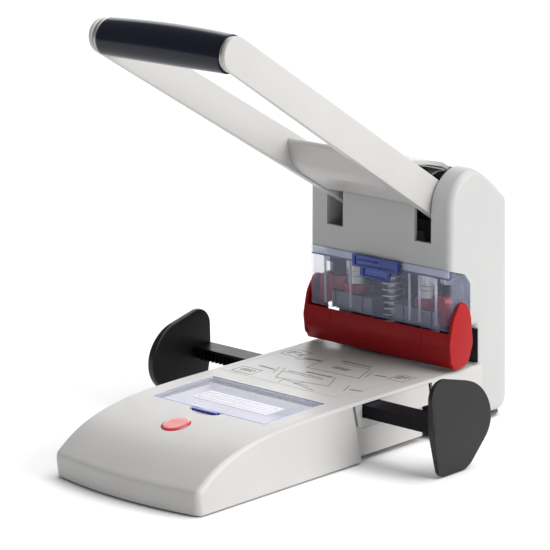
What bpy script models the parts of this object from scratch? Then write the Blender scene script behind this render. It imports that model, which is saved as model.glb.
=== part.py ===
"""Heavy-duty two-hole paper punch with a raised bail handle.

The shapes are laid out in millimetres around the head: X across the punch, Y towards its back with
y = 0 at the head's front face, Z up from the surface that it stands on. deliver() turns them into
metres and moves them so that the origin lies under the middle of the whole object.
"""
import math

import bmesh
import bpy
from mathutils import Vector

MM = 0.001
HEAD_Y = 112.75          # from the middle of the object back to the head's front face
GAP = 0.3                # clearance between touching pieces

# Base
BASE_HALF = 81.0
TABLE_Z = 51.6
SKIRT_Z = 1.6
NOSE_Y = -291.5
NOSE_BOW = 8.5
LIP_Z = 21.5
WALL = 2.4
BUTTON_Y = -236.5
LID_HINGE = (-136.4, 47.8)
BASE_END_Y = 32.7
FOOT_R = 8.0
FOOT_H = 2.0

# Head and column
HEAD_HALF = 78.5
BACK_Y = 76.0
COLUMN_Z = 5.0
THROAT_Z = 84.0
THROAT_Y = 33.0
SEAM_Z = 137.3
SLOT_IN = 40.0
SLOT_OUT = 57.9
SLOT_Z = 157.0
BLOCK_TOP_Z = 187.0
SHELL = 3.0

# Handle, in a frame that starts at its pivot: s along the arms, t square to them
PIVOT = (36.0, 180.0)
ARM_TILT = math.radians(32.1)
HANDLE_SWING = 38.0
GRIP_S = 317.4
ARM_MID_T = -2.0
ARM_HALF_T = 14.2
ARM_OUT = (54.6, 73.8)   # outer face at the pivot and at the grip
ARM_IN = (45.0, 69.9)    # inner face at the pivot and at the grip
AXLE_R = 6.0
GRIP_HALF = 67.2

# Punching gear
PUNCH_X = 40.0
PUNCH_Y = 21.0
PUNCH_R = 3.0
CRANK_R = 25.0
CRANK_TILT = math.radians(HANDLE_SWING / 2)
LINK_LENGTH = 30.0
HOLDER_R = 10.0

# Paper guides
PINION_Y = -78.0
PINION_R = 10.0
TEETH = 14
TOOTH_PITCH = 2 * math.pi * PINION_R / TEETH
RACK_Z = (38.0, 48.5)
FLANGE_Z = 46.0
RACK_DEPTH = 19.0
PADDLE_X = 150.0
PADDLE_THICK = 7.0

# Window and guard flap
FLAP_PIVOT = (14.0, 98.0)
WINDOW_HINGE = (1.5, 87.5)


def outward(angle, radius, centre=(0.0, 0.0)):
    """Point at an angle and a radius round a centre, in a flat outline."""
    return Vector((centre[0] + radius * math.cos(angle), centre[1] + radius * math.sin(angle)))


def circle(centre, radius, count=24, start=0.0):
    """Closed round outline."""
    return [outward(start + 2 * math.pi * k / count, radius, centre) for k in range(count)]


def rounded(corners, steps=5):
    """Closed outline through corners (a, b, radius), each one turned by an arc of its radius."""
    outline = []
    for index, (a, b, radius) in enumerate(corners):
        here = Vector((a, b))
        if radius <= 0:
            outline.append(here)
            continue
        before = (Vector(corners[index - 1][:2]) - here).normalized()
        after = (Vector(corners[(index + 1) % len(corners)][:2]) - here).normalized()
        half = before.angle(after) / 2
        centre = here + (before + after).normalized() * (radius / math.sin(half))
        reach = radius / math.tan(half)
        first = here + before * reach - centre
        last = here + after * reach - centre
        start = math.atan2(first.y, first.x)
        turn = (math.atan2(last.y, last.x) - start + math.pi) % (2 * math.pi) - math.pi
        outline += [outward(start + turn * k / steps, radius, centre) for k in range(steps + 1)]
    return outline


def area(outline):
    """Signed area, positive when the outline runs counter-clockwise."""
    pairs = zip(outline, outline[1:] + outline[:1])
    return sum(p.x * q.y - q.x * p.y for p, q in pairs) / 2


def inset(outline, distance):
    """The outline moved inwards by a distance, its corners kept."""
    side = 1.0 if area(outline) > 0 else -1.0
    moved = []
    for index, here in enumerate(outline):
        back = (here - outline[index - 1]).normalized()
        ahead = (outline[(index + 1) % len(outline)] - here).normalized()
        normal_a = Vector((-back.y, back.x)) * side
        normal_b = Vector((-ahead.y, ahead.x)) * side
        middle = (normal_a + normal_b).normalized()
        moved.append(here + middle * (distance / max(middle.dot(normal_a), 0.3)))
    return moved


def loft(rings):
    """Closed solid through rings with equal numbers of points."""
    bm = bmesh.new()
    layers = [[bm.verts.new(point) for point in ring] for ring in rings]
    for low, high in zip(layers, layers[1:]):
        for k in range(len(low)):
            after = (k + 1) % len(low)
            bm.faces.new((low[k], low[after], high[after], high[k]))
    bm.faces.new(layers[0])
    bm.faces.new(list(reversed(layers[-1])))
    bmesh.ops.recalc_face_normals(bm, faces=bm.faces)
    return bm


def prism_x(outline, x0, x1):
    """A (y, z) outline extruded across the punch."""
    return loft([[(x, p[0], p[1]) for p in outline] for x in (x0, x1)])


def prism_y(outline, y0, y1):
    """An (x, z) outline extruded along the punch."""
    return loft([[(p[0], y, p[1]) for p in outline] for y in (y0, y1)])


def prism_z(outline, z0, z1):
    """An (x, y) outline extruded upwards."""
    return loft([[(p[0], p[1], z) for p in outline] for z in (z0, z1)])


def soft_stations(x0, x1, radius, steps=3):
    """Places along X with the inset that rounds both ends of a prism."""
    ends = []
    for k in range(steps + 1):
        angle = math.pi / 2 * k / steps
        ends.append((radius * (1 - math.sin(angle)), radius * (1 - math.cos(angle))))
    left = [(x0 + depth, amount) for amount, depth in ends]
    right = [(x1 - depth, amount) for amount, depth in reversed(ends)]
    return left + right


def soft_prism_x(outline, x0, x1, radius, steps=3):
    """prism_x with both end edges rounded."""
    rings = []
    for x, amount in soft_stations(x0, x1, radius, steps):
        rings.append([(x, p[0], p[1]) for p in inset(outline, amount)])
    return loft(rings)


def box(x0, x1, y0, y1, z0, z1):
    """Plain block."""
    return prism_z([Vector((x0, y0)), Vector((x1, y0)), Vector((x1, y1)), Vector((x0, y1))], z0, z1)


def rod_x(centre, radius, x0, x1, count=24):
    """Round bar across the punch, its centre given as (y, z)."""
    return prism_x(circle(centre, radius, count), x0, x1)


def rod_z(centre, radius, z0, z1, count=24):
    """Upright round bar, its centre given as (x, y)."""
    return prism_z(circle(centre, radius, count), z0, z1)


def combine(base, tool, operation):
    """Boolean of two solids, which are used up."""
    parts = []
    for bm in (base, tool):
        mesh = bpy.data.meshes.new("step")
        bm.to_mesh(mesh)
        bm.free()
        holder = bpy.data.objects.new("step", mesh)
        bpy.context.scene.collection.objects.link(holder)
        parts.append(holder)
    modifier = parts[0].modifiers.new("combine", "BOOLEAN")
    modifier.object = parts[1]
    modifier.operation = operation
    modifier.solver = "EXACT"
    bpy.context.view_layer.update()
    evaluated = parts[0].evaluated_get(bpy.context.evaluated_depsgraph_get())
    result = bmesh.new()
    result.from_mesh(evaluated.to_mesh())
    for holder in parts:
        mesh = holder.data
        bpy.data.objects.remove(holder)
        bpy.data.meshes.remove(mesh)
    bmesh.ops.dissolve_degenerate(result, dist=0.0005, edges=result.edges)
    return result


def cut(base, *tools):
    """Take each tool away from the base."""
    for tool in tools:
        base = combine(base, tool, "DIFFERENCE")
    return base


def join(base, *tools):
    """Add each tool to the base."""
    for tool in tools:
        base = combine(base, tool, "UNION")
    return base


def mirrored(bm):
    """The same solid on the other side of the middle plane."""
    for vert in bm.verts:
        vert.co.x = -vert.co.x
    bmesh.ops.reverse_faces(bm, faces=bm.faces)
    return bm


def material(name, colour, roughness, metallic=0.0, clear=0.0):
    """Principled material; clear is how much light passes through."""
    made = bpy.data.materials.new(name)
    made.use_nodes = True
    shader = made.node_tree.nodes["Principled BSDF"]
    shader.inputs["Base Color"].default_value = (*colour, 1.0)
    shader.inputs["Roughness"].default_value = roughness
    shader.inputs["Metallic"].default_value = metallic
    shader.inputs["Transmission Weight"].default_value = clear
    made.diffuse_color = (*colour, 1.0)
    return made


def deliver(name, bm, made_of, pivot=(0.0, 0.0, 0.0)):
    """Put a finished solid into the scene with its origin on its pivot."""
    mesh = bpy.data.meshes.new(name)
    centre = Vector((pivot[0], pivot[1] + HEAD_Y, pivot[2])) * MM
    for vert in bm.verts:
        vert.co = Vector((vert.co.x, vert.co.y + HEAD_Y, vert.co.z)) * MM - centre
    bm.to_mesh(mesh)
    bm.free()
    mesh.materials.append(made_of)
    mesh.shade_smooth()
    mesh.set_sharp_from_angle(angle=math.radians(35))
    node = bpy.data.objects.new(name, mesh)
    node.location = centre
    bpy.context.scene.collection.objects.link(node)
    return node


def smooth_step(value):
    """0 below 0, 1 above 1, with a soft change between."""
    value = min(max(value, 0.0), 1.0)
    return value * value * (3 - 2 * value)


# ---------------------------------------------------------------- base

TOP_LINE = ((60.0, TABLE_Z), (-150.0, TABLE_Z), (-200.0, 50.2), (-232.0, 46.4), (-257.0, 40.2),
            (-275.5, 32.0), (NOSE_Y, LIP_Z))


def top_line(count=18):
    """Smooth line of the base's top along its middle, from its back to the lip."""
    points = [Vector(point) for point in TOP_LINE]
    line = []
    for index in range(len(points) - 1):
        before = points[max(index - 1, 0)]
        start, end = points[index], points[index + 1]
        after = points[min(index + 2, len(points) - 1)]
        pieces = max(1, round((start - end).length / 310.0 * count))
        for k in range(pieces):
            t = k / pieces
            slope_a = (end - before) * 0.5
            slope_b = (after - start) * 0.5
            if index == 0:
                slope_a = slope_b = end - start
            if index == 1:
                slope_a = Vector((end.x - start.x, 0.0))
            line.append(start * (2 * t ** 3 - 3 * t ** 2 + 1) + slope_a * (t ** 3 - 2 * t ** 2 + t)
                        + end * (3 * t ** 2 - 2 * t ** 3) + slope_b * (t ** 3 - t ** 2))
    line.append(points[-1])
    return line


def top_z(y):
    """Height of the base's top at a place along it."""
    line = top_line()
    for high, low in zip(line, line[1:]):
        if low.x <= y <= high.x:
            return low.y + (high.y - low.y) * (y - low.x) / (high.x - low.x)
    return line[-1].y


def base_body(half, offset, low_z, back_y):
    """Block under the top line; the nose bows forward and its corners are rounded in plan."""
    corner = 5.0
    edge = 3.0
    stations = [-half, -half + 0.15, -half + 0.65, -half + 1.6, -half + 3.0, -half + 5.0]
    stations += [-48.0, -24.0, 0.0]
    stations += [-x for x in reversed(stations[:-1])]
    lip = [Vector((NOSE_Y - 1.2, LIP_Z - 2.5)), Vector((NOSE_Y - 1.5, LIP_Z - 6.0)), Vector((NOSE_Y, low_z))]
    rings = []
    for x in stations:
        reach = max(0.0, abs(x) - (half - corner))
        pull = corner - math.sqrt(corner ** 2 - reach ** 2)
        bow = NOSE_BOW * (1 - (x / half) ** 2)
        over = max(0.0, abs(x) - (half - edge))
        drop = edge - math.sqrt(edge ** 2 - over ** 2)
        ring = [(x, back_y, low_z)]
        for point in top_line() + lip:
            weight = smooth_step((-190.0 - point.x) / 95.0)
            y = min(point.x, back_y) + (pull - bow) * weight + offset * weight
            z = point.y if point.y <= low_z else max(low_z + 1, point.y - drop - offset)
            ring.append((x, y, z))
        rings.append(ring)
    return loft(rings)


def base_shell():
    """Plastic lower body: table, sloping nose, lip and skirts."""
    body = base_body(BASE_HALF, 0.0, SKIRT_Z, 39.3)
    body = cut(body, base_body(BASE_HALF - WALL, WALL, SKIRT_Z - 3.0, 45.0))
    behind = box(-HEAD_HALF - GAP, HEAD_HALF + GAP, BASE_END_Y, 60.0, -5.0, 70.0)
    compartment = box(-62.5, 62.5, -201.5, -132.0, 40.0, 60.0)
    notch = prism_z([Vector((18.0 * math.cos(a), -200.5 + 10.5 * math.sin(a)))
                     for a in (2 * math.pi * k / 28 for k in range(28))], 40.0, 60.0)
    button = rod_z((0.0, BUTTON_Y), 12.0, 35.0, 60.0, 32)
    dies = box(-50.3, 50.3, 8.7, BASE_END_Y + 5, 45.0, 60.0)
    body = cut(body, behind, compartment, notch, button, dies)
    for side in (-1, 1):
        inner, outer = sorted((side * (BASE_HALF - 6), side * (BASE_HALF + 3)))
        opening = [Vector((-119.5, 49.4)), Vector((-108.0, -5.0)), Vector((-21.0, -5.0)), Vector((-21.0, 30.0)),
                   Vector((-24.0, 49.4))]
        body = cut(body, prism_x(opening, inner, outer))
    return body


def side_panel(side):
    """Band between the skirts with the guide bar's opening, over a set-back block."""
    band = prism_x([Vector((-115.8, 49.1)), Vector((-111.8, 31.0)), Vector((-25.0, 31.0)),
                    Vector((-27.5, 49.1))], BASE_HALF - 4.0, BASE_HALF - 0.6)
    block = box(BASE_HALF - 8.0, BASE_HALF - 4.6, -106.0, -31.0, 4.5, 49.1)
    block = join(block, box(BASE_HALF - 8.0, BASE_HALF - 4.6, -123.0, -105.0, 4.5, 46.0))
    tie = box(BASE_HALF - 6.0, BASE_HALF - 2.0, -104.0, -33.0, 33.0, 49.1)
    panel = join(band, block, tie)
    bar_y = rack_span(side)
    panel = cut(panel, box(60.0, 90.0, bar_y[0] - 0.7, bar_y[1] + 0.7, RACK_Z[0] - 0.6, 60.0))
    return panel if side > 0 else mirrored(panel)


def base_plate():
    """Steel plate that closes the base from below."""
    right = [(76.0, -286.0, 8), (76.0, -127.0, 2), (70.0, -123.0, 2), (70.0, -18.0, 2), (76.0, -14.0, 2),
             (76.0, 71.0, 8)]
    left = [(-x, y, radius) for x, y, radius in reversed(right)]
    outline = rounded(right + left, 3)
    return prism_z(outline, 2.3, 4.3)


def button_post():
    """Post on the base plate that seats the button's spring."""
    rings = []
    for z, radius in ((4.6, 10.0), (7.0, 10.0), (9.0, 7.5), (30.0, 7.5)):
        rings.append([(p.x, p.y, z) for p in circle((0.0, BUTTON_Y), radius, 20)])
    return loft(rings)


def foot(x, y):
    """Rubber foot, a low disc with a broken edge."""
    rings = []
    for z, radius in ((0.0, FOOT_R - 0.6), (0.6, FOOT_R), (FOOT_H, FOOT_R)):
        rings.append([(p.x, p.y, z) for p in circle((x, y), radius, 20)])
    return loft(rings)


# ---------------------------------------------------------------- compartment and button

def compartment_tray():
    """Open tray under the clear lid."""
    tray = box(-65.0, 65.0, -214.0, -130.0, 31.0, 45.5)
    return cut(tray, box(-63.0, 63.0, -212.0, -132.0, 33.0, 50.0))


def lid_strip(x0, x1, y0, y1, below, thick):
    """Thin plate that follows the base's top at a depth below it."""
    places = [y0 + (y1 - y0) * k / 6 for k in range(7)]
    outline = [Vector((y, top_z(y) - below)) for y in places]
    outline += [Vector((y, top_z(y) - below - thick)) for y in reversed(places)]
    return prism_x(outline, x0, x1)


def compartment_lid():
    """Clear lid with two ears whose stubs turn under the table's edge."""
    lid = lid_strip(-61.9, 61.9, -200.8, -134.6, 0.1, 1.6)
    for side in (-1, 1):
        inner, outer = sorted((side * 59.4, side * 61.7))
        stub_in, stub_out = sorted((side * 60.0, side * 63.8))
        lid = join(lid, box(inner, outer, -138.3, -134.8, 46.4, 50.5))
        lid = join(lid, rod_x(LID_HINGE, 1.1, stub_in, stub_out, 12))
    return lid


def lid_tab():
    """Coloured lift tab that reaches from the lid's front edge over the finger notch."""
    return soft_prism_x(rounded([(-205.9, 50.6, 0.8), (-201.1, 50.6, 0.8), (-201.1, 48.2, 0.8),
                                 (-205.9, 48.2, 0.8)], 2), -13.8, 13.8, 0.5, 2)


def label_card():
    """Printed card held under the lid."""
    return box(-41.0, 41.0, -178.0, -156.0, 48.0, 48.8)


def release_button():
    """Round button with a flange under the nose and a top that follows its slope."""
    lean = 0.2
    rings = []
    profile = ((11.0, 37.2, 0.0), (13.2, 37.4, 0.0), (13.2, 38.8, 0.0), (11.6, 39.0, 0.0), (11.6, 45.4, 1.0),
               (11.0, 46.9, 1.0), (8.0, 47.6, 1.0), (3.5, 47.9, 1.0))
    for radius, z, share in profile:
        rings.append([(p.x, p.y, z + lean * share * (p.y - BUTTON_Y)) for p in circle((0.0, BUTTON_Y), radius, 28)])
    return loft(rings)


def coil(centre, radius, wire, z0, z1, turns, sides=5, per_turn=10):
    """Helical compression spring with flat-ended wire."""
    count = int(turns * per_turn)
    rings = []
    rise = (z1 - z0 - 2 * wire) / count
    slope = math.atan2(rise * count, 2 * math.pi * radius * turns)
    for k in range(count + 1):
        angle = 2 * math.pi * turns * k / count
        out = Vector((math.cos(angle), math.sin(angle), 0.0))
        along = Vector((-math.sin(angle) * math.cos(slope), math.cos(angle) * math.cos(slope), math.sin(slope)))
        up = out.cross(along)
        middle = Vector((centre[0], centre[1], z0 + wire + rise * k)) + out * radius
        ring = []
        for step in range(sides):
            turn = 2 * math.pi * step / sides
            ring.append(middle + out * (wire * math.cos(turn)) + up * (wire * math.sin(turn)))
        rings.append(ring)
    return loft(rings)


# ---------------------------------------------------------------- paper guides

def rack_span(side):
    """Front and back of a guide bar: the right one is in front of the pinion, the left one behind."""
    near = PINION_Y - side * (PINION_R - 1.2)
    far = PINION_Y - side * (PINION_R + RACK_DEPTH)
    return min(near, far), max(near, far)


def rack_bar():
    """Right guide bar, toothed on the face towards the pinion."""
    start, end = -8.0, PADDLE_X - GAP
    pitch_y = PINION_Y - PINION_R
    outline = [Vector((end, pitch_y - RACK_DEPTH)), Vector((end, pitch_y - 1.7))]
    teeth = int((end - 4.0 - start) / TOOTH_PITCH)
    first = math.floor((end - 4.0) / TOOTH_PITCH - 0.5)
    for k in range(teeth):
        middle = (first - k + 0.5) * TOOTH_PITCH
        if middle - TOOTH_PITCH / 2 < start:
            break
        outline.append(Vector((middle + 1.42, pitch_y - 1.7)))
        outline.append(Vector((middle + 0.48, pitch_y + 1.2)))
        outline.append(Vector((middle - 0.48, pitch_y + 1.2)))
        outline.append(Vector((middle - 1.42, pitch_y - 1.7)))
    outline += [Vector((start, pitch_y - 1.7)), Vector((start, pitch_y - RACK_DEPTH))]
    flange = box(start, end, pitch_y - RACK_DEPTH, pitch_y + 1.2, FLANGE_Z, RACK_Z[1])
    return join(prism_z(outline, RACK_Z[0], FLANGE_Z + 0.5), flange)


def half_turn(bm):
    """The same solid turned half round about the pinion's axis."""
    for vert in bm.verts:
        vert.co.x = -vert.co.x
        vert.co.y = 2 * PINION_Y - vert.co.y
    return bm


def stop_paddle():
    """Right paper stop, a broad rounded blade."""
    edge = PINION_Y - PINION_R - RACK_DEPTH - 1.5
    corners = [(0.0, 84.2, 15), (69.5, 66.3, 34), (69.5, 29.9, 26), (43.2, 0.8, 18), (9.0, 0.8, 7),
               (0.0, 38.0, 25)]
    outline = rounded([(edge + a, b, radius) for a, b, radius in corners], 6)
    return soft_prism_x(outline, PADDLE_X, PADDLE_X + PADDLE_THICK, 2.0, 2)


def pinion():
    """Toothed wheel between the two bars."""
    outline = []
    for k in range(TEETH):
        angle = math.pi / 2 + 2 * math.pi * k / TEETH
        for radius, half in ((8.5, 1.3), (10.0, 0.82), (11.1, 0.35)):
            outline.append(outward(angle - half / radius, radius))
        for radius, half in ((11.1, 0.35), (10.0, 0.82), (8.5, 1.3)):
            outline.append(outward(angle + half / radius, radius))
    outline = [Vector((p.x, p.y + PINION_Y)) for p in outline]
    return cut(prism_z(outline, 38.6, FLANGE_Z - 0.6), rod_z((0.0, PINION_Y), 3.3, 30.0, 60.0, 20))


def rack_channel():
    """Plate with low rails that carries the two guide bars."""
    front, back = rack_span(1)[0], rack_span(-1)[1]
    plate = box(-72.0, 72.0, front - 5.0, back + 5.0, 33.0, 37.6)
    rails = [box(-72.0, 72.0, front - 5.0, front - 0.5, 36.0, 46.0),
             box(-72.0, 72.0, back + 0.5, back + 5.0, 36.0, 46.0)]
    plate = join(plate, *rails)
    return cut(plate, rod_z((0.0, PINION_Y), 3.4, 20.0, 60.0, 20))


# ---------------------------------------------------------------- column and head

def column_outline():
    """Side view of the head and column as one body, before the window's zone is taken out."""
    arch_centre = (36.0, 184.0)
    arch = [outward(math.radians(a), 33.2, arch_centre) for a in range(180, 89, -9)]
    arch += [Vector((44.0, 212.6)), Vector((52.7, 206.5)), Vector((65.5, 195.9))]
    lower = [(BACK_Y, 186.0, 7), (BACK_Y, COLUMN_Z, 12), (THROAT_Y, COLUMN_Z, 0), (THROAT_Y, THROAT_Z, 0),
             (0.0, THROAT_Z, 0)]
    return rounded([(p.x, p.y, 0) for p in arch] + lower, 4)


def window_zone():
    """Side view of the space that the clear window fills."""
    return rounded([(-6.0, 60.0, 0), (-6.0, SEAM_Z + 2.2, 0), (0.0, SEAM_Z, 0), (20.8, 130.8, 6.0),
                    (27.3, 122.0, 3), (27.3, 60.0, 0)], 4)


def column_cover():
    """Plastic cover of the head and column, open below and where the window and handle go."""
    outline = column_outline()
    body = soft_prism_x(outline, -HEAD_HALF, HEAD_HALF, 6.0, 4)
    hollow = inset(outline, SHELL)
    body = cut(body, prism_x(hollow, -HEAD_HALF + SHELL, HEAD_HALF - SHELL))
    body = cut(body, box(-HEAD_HALF + SHELL, HEAD_HALF - SHELL, THROAT_Y + SHELL, 72.0, -5.0, 20.0))
    body = cut(body, box(-62.0, 62.0, 20.0, THROAT_Y, THROAT_Z - 3.0, THROAT_Z + 6.0))
    body = cut(body, prism_x(window_zone(), -90.0, 90.0))
    body = cut(body, box(-SLOT_OUT, SLOT_OUT, 6.5, 72.0, BLOCK_TOP_Z, 230.0))
    body = cut(body, box(-SLOT_OUT, SLOT_OUT, -5.0, 10.0, BLOCK_TOP_Z, 230.0))
    for side in (-1, 1):
        low, high = sorted((side * SLOT_IN, side * SLOT_OUT))
        body = cut(body, box(low, high, -5.0, 10.0, SLOT_Z, 230.0))
    body = cut(body, box(-62.5, 62.5, 20.0, 40.0, -2.0, 49.2))
    body = cut(body, box(-59.0, 59.0, 60.0, 90.0, -2.0, 31.0))
    return body


def cheek_liner():
    """Inner wall of the right cheek, beside the handle's slot."""
    outline = inset(column_outline(), SHELL + 0.4)
    wall = prism_x(outline, SLOT_OUT + GAP, SLOT_OUT + 2.5)
    keep = box(50.0, 70.0, -5.0, 90.0, 140.0, 240.0)
    wall = combine(wall, keep, "INTERSECT")
    return cut(wall, rod_x(PIVOT, AXLE_R + 0.5, 50.0, 70.0))


def top_cover():
    """Panel between the cheeks at the back of the column's top, with a dome that runs under the hood."""
    outer = [Vector((42.6, 213.2)), Vector((52.7, 206.5)), Vector((65.5, 195.9)), Vector((71.7, 190.0))]
    inner = [Vector((71.7, 187.4)), Vector((66.6, 190.3)), Vector((51.0, 203.9)), Vector((42.0, 209.5))]
    angles = [math.radians(60 + 12 * k) for k in range(9)]
    dome = [outward(a, 31.2, PIVOT) for a in angles]
    dome += [outward(a, 29.8, PIVOT) for a in reversed(angles)]
    return join(prism_x(outer + inner, -SLOT_OUT + GAP, SLOT_OUT - GAP), prism_x(dome, -39.7, 39.7))


def inner_backplate():
    """Pale wall behind the punching gear."""
    return box(-61.6, 61.6, 34.4, 36.0, 87.4, 139.5)


def frame_plate():
    """Right steel side plate that carries the axle and ties the head to the dies."""
    outline = rounded([(38.0, 6.0, 0), (70.0, 6.0, 4), (70.0, 183.0, 6), (46.0, 200.0, 8), (22.0, 200.0, 10),
                       (9.0, 186.0, 8), (9.0, 122.0, 3), (34.0, 118.0, 3), (34.0, 87.6, 0), (38.0, 87.6, 0)], 4)
    return cut(prism_x(outline, 62.0, 66.0), rod_x(PIVOT, AXLE_R + GAP, 50.0, 80.0))


def axle_clip():
    """Retaining ring on the axle's right end."""
    gap = math.radians(25)
    arc = [gap + (2 * math.pi - 2 * gap) * k / 20 for k in range(21)]
    outline = [outward(a, AXLE_R + 4.0, PIVOT) for a in arc]
    outline += [outward(a, AXLE_R + GAP, PIVOT) for a in reversed(arc)]
    return prism_x(outline, 66.4, 68.0)


# ---------------------------------------------------------------- handle

ARM_ALONG = Vector((-math.cos(ARM_TILT), math.sin(ARM_TILT)))
ARM_UP = Vector((math.sin(ARM_TILT), math.cos(ARM_TILT)))


def on_arm(s, t):
    """Side-view point at a distance s along the arm and t square to it."""
    return Vector(PIVOT) + ARM_ALONG * s + ARM_UP * t


def arm_x(faces, point):
    """Where a face that spreads from the pivot to the grip lies beside a side-view point."""
    s = (Vector(point) - Vector(PIVOT)).dot(ARM_ALONG)
    return faces[0] + (faces[1] - faces[0]) * s / GRIP_S


def handle_arm():
    """Right arm: a flat bar that spreads outwards and ends in a round eye at the grip."""
    low, high = ARM_MID_T - ARM_HALF_T, ARM_MID_T + ARM_HALF_T
    far = GRIP_S + ARM_HALF_T
    corners = [(-15.0, low, 13), (far, low, 14.2), (far, high, 14.2), (-15.0, high, 13)]
    outline = [on_arm(p.x, p.y) for p in rounded(corners, 8)]
    rings = []
    for share, amount in ((0.0, 0.8), (0.12, 0.0), (0.88, 0.0), (1.0, 0.8)):
        ring = []
        for point in inset(outline, amount):
            inner, outer = arm_x(ARM_IN, point), arm_x(ARM_OUT, point)
            ring.append((inner + (outer - inner) * share, point.x, point.y))
        rings.append(ring)
    arm = loft(rings)
    return cut(arm, rod_x(PIVOT, AXLE_R + GAP, 30.0, 70.0))


def handle_hood():
    """Shell between the arms that covers the column's top; its front drops in front of the head."""
    outer = rounded([(-50.5, 240.5, 3), (-14.0, 228.0, 30), (12.0, 223.5, 30), (30.0, 219.3, 12),
                     (39.0, 214.0, 0), (38.2, 211.4, 0), (28.5, 215.8, 9), (11.0, 220.3, 27), (-14.0, 224.8, 27),
                     (-45.6, 235.5, 2), (-41.6, 219.5, 8), (-33.5, 211.5, 6), (-7.2, 193.5, 0),
                     (-8.6, 190.3, 0), (-36.0, 207.8, 12), (-45.5, 217.0, 10)], 4)
    rings = []
    for share in (-1.0, 1.0):
        ring = []
        for point in outer:
            ring.append((share * (arm_x(ARM_IN, point) - GAP), point.x, point.y))
        rings.append(ring)
    return loft(rings)


def grip():
    """Oval hand tube, a little fuller in its middle."""
    rings = []
    for k in range(13):
        x = -GRIP_HALF + 2 * GRIP_HALF * k / 12
        swell = 1.0 + 0.07 * (1 - (x / GRIP_HALF) ** 2)
        crown = 1.0 * (1 - (x / GRIP_HALF) ** 2)
        ring = []
        for step in range(24):
            angle = 2 * math.pi * step / 24
            point = on_arm(GRIP_S + 12.6 * swell * math.cos(angle),
                           ARM_MID_T + crown + 15.4 * swell * math.sin(angle))
            ring.append((x, point.x, point.y))
        rings.append(ring)
    return loft(rings)


def grip_ring():
    """Collar between the hand tube and the right arm."""
    rings = []
    for share, size in ((0.0, 1.0), (0.12, 1.04), (0.85, 1.04), (1.0, 1.0)):
        ring = []
        for step in range(24):
            angle = 2 * math.pi * step / 24
            point = on_arm(GRIP_S + 12.6 * size * math.cos(angle), ARM_MID_T + 13.4 * size * math.sin(angle))
            inner = GRIP_HALF + GAP
            outer = arm_x(ARM_IN, point) - GAP
            ring.append((inner + (outer - inner) * share, point.x, point.y))
        rings.append(ring)
    return loft(rings)


def crank_point():
    """Centre of the crank pins with the handle raised."""
    return Vector((PIVOT[0] - CRANK_R * math.cos(CRANK_TILT), PIVOT[1] + CRANK_R * math.sin(CRANK_TILT)))


def handle_hub():
    """Cast hub on the axle with two crank cheeks and their pins."""
    hub = rod_x(PIVOT, 13.5, -39.0, 39.0, 28)
    pin = crank_point()
    hub = join(hub, rod_x(pin, 2.6, -30.5, 30.5, 16))
    for side in (-1, 1):
        low, high = sorted((side * 16.0, side * 23.0))
        across = Vector((math.sin(CRANK_TILT), math.cos(CRANK_TILT)))
        root = Vector(PIVOT)
        outline = [root + across * 11.0, pin + across * 4.2, pin + (pin - root).normalized() * 4.4,
                   pin - across * 4.2, root - across * 11.0]
        hub = join(hub, prism_x(outline, low, high))
    return cut(hub, rod_x(PIVOT, AXLE_R + GAP, -60.0, 60.0))


# ---------------------------------------------------------------- punching gear

def drive_link():
    """Right link from the crank pin down to the yoke; its lower eye has play for the crank's arc."""
    top = crank_point()
    low = top - Vector((0.0, LINK_LENGTH))
    outline = [outward(math.radians(a), 4.4, top) for a in range(0, 181, 20)]
    outline += [outward(math.radians(a), 5.8, low) for a in range(180, 361, 20)]
    link = prism_x(outline, 25.0, 29.0)
    return cut(link, rod_x(top, 2.9, 20.0, 40.0, 16), rod_x(low, 4.4, 20.0, 40.0, 16))


def yoke():
    """Crossbeam that pushes both punches, with lugs and pins for the links."""
    beam = prism_z(rounded([(-52.0, 12.5, 8), (52.0, 12.5, 8), (52.0, 29.5, 8), (-52.0, 29.5, 8)], 4), 140.0, 150.5)
    eye = crank_point() - Vector((0.0, LINK_LENGTH))
    for side in (-1, 1):
        low, high = sorted((side * 31.0, side * 35.0))
        pin = sorted((side * 24.6, side * 33.0))
        beam = join(beam, prism_x(rounded([(13.0, 145.0, 0), (24.0, 145.0, 0), (19.0, 161.0, 3),
                                           (8.5, 163.0, 3), (8.5, 153.5, 2), (13.0, 150.0, 0)], 2), low, high))
        beam = join(beam, rod_x(eye, 2.4, pin[0], pin[1], 16))
    return cut(beam, rod_z((0.0, PUNCH_Y), 6.4, 130.0, 160.0))


def punch_holder():
    """Thick upright body of the right punch."""
    rings = []
    for z, radius in ((103.6, 8.8), (105.0, HOLDER_R), (139.0, HOLDER_R), (139.7, 9.3)):
        rings.append([(p.x, p.y, z) for p in circle((PUNCH_X, PUNCH_Y), radius, 28)])
    return loft(rings)


def punch():
    """Hollow cutting tube of the right punch."""
    tube = rod_z((PUNCH_X, PUNCH_Y), PUNCH_R, 66.9, 103.3, 20)
    return cut(tube, rod_z((PUNCH_X, PUNCH_Y), PUNCH_R - 0.8, 60.0, 110.0, 20))


def punch_guide():
    """Bridge across the head that guides the punches and seats the return spring."""
    body = box(-58.0, 58.0, 7.0, 30.4, THROAT_Z + GAP, 98.0)
    body = join(body, box(-15.5, 15.5, 8.5, 30.4, 75.0, 92.0))
    body = cut(body, box(-12.5, 12.5, 0.0, 35.0, 77.0, 105.0))
    body = join(body, rod_z((0.0, PUNCH_Y), 5.6, 76.0, 80.0))
    for side in (-1, 1):
        at = (side * PUNCH_X, PUNCH_Y)
        body = join(body, rod_z(at, 8.0, 69.5, 90.0))
        body = cut(body, rod_z(at, PUNCH_R + 0.35, 60.0, 110.0, 20), rod_z(at, HOLDER_R + 0.4, 86.6, 110.0, 28))
    return body


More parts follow.
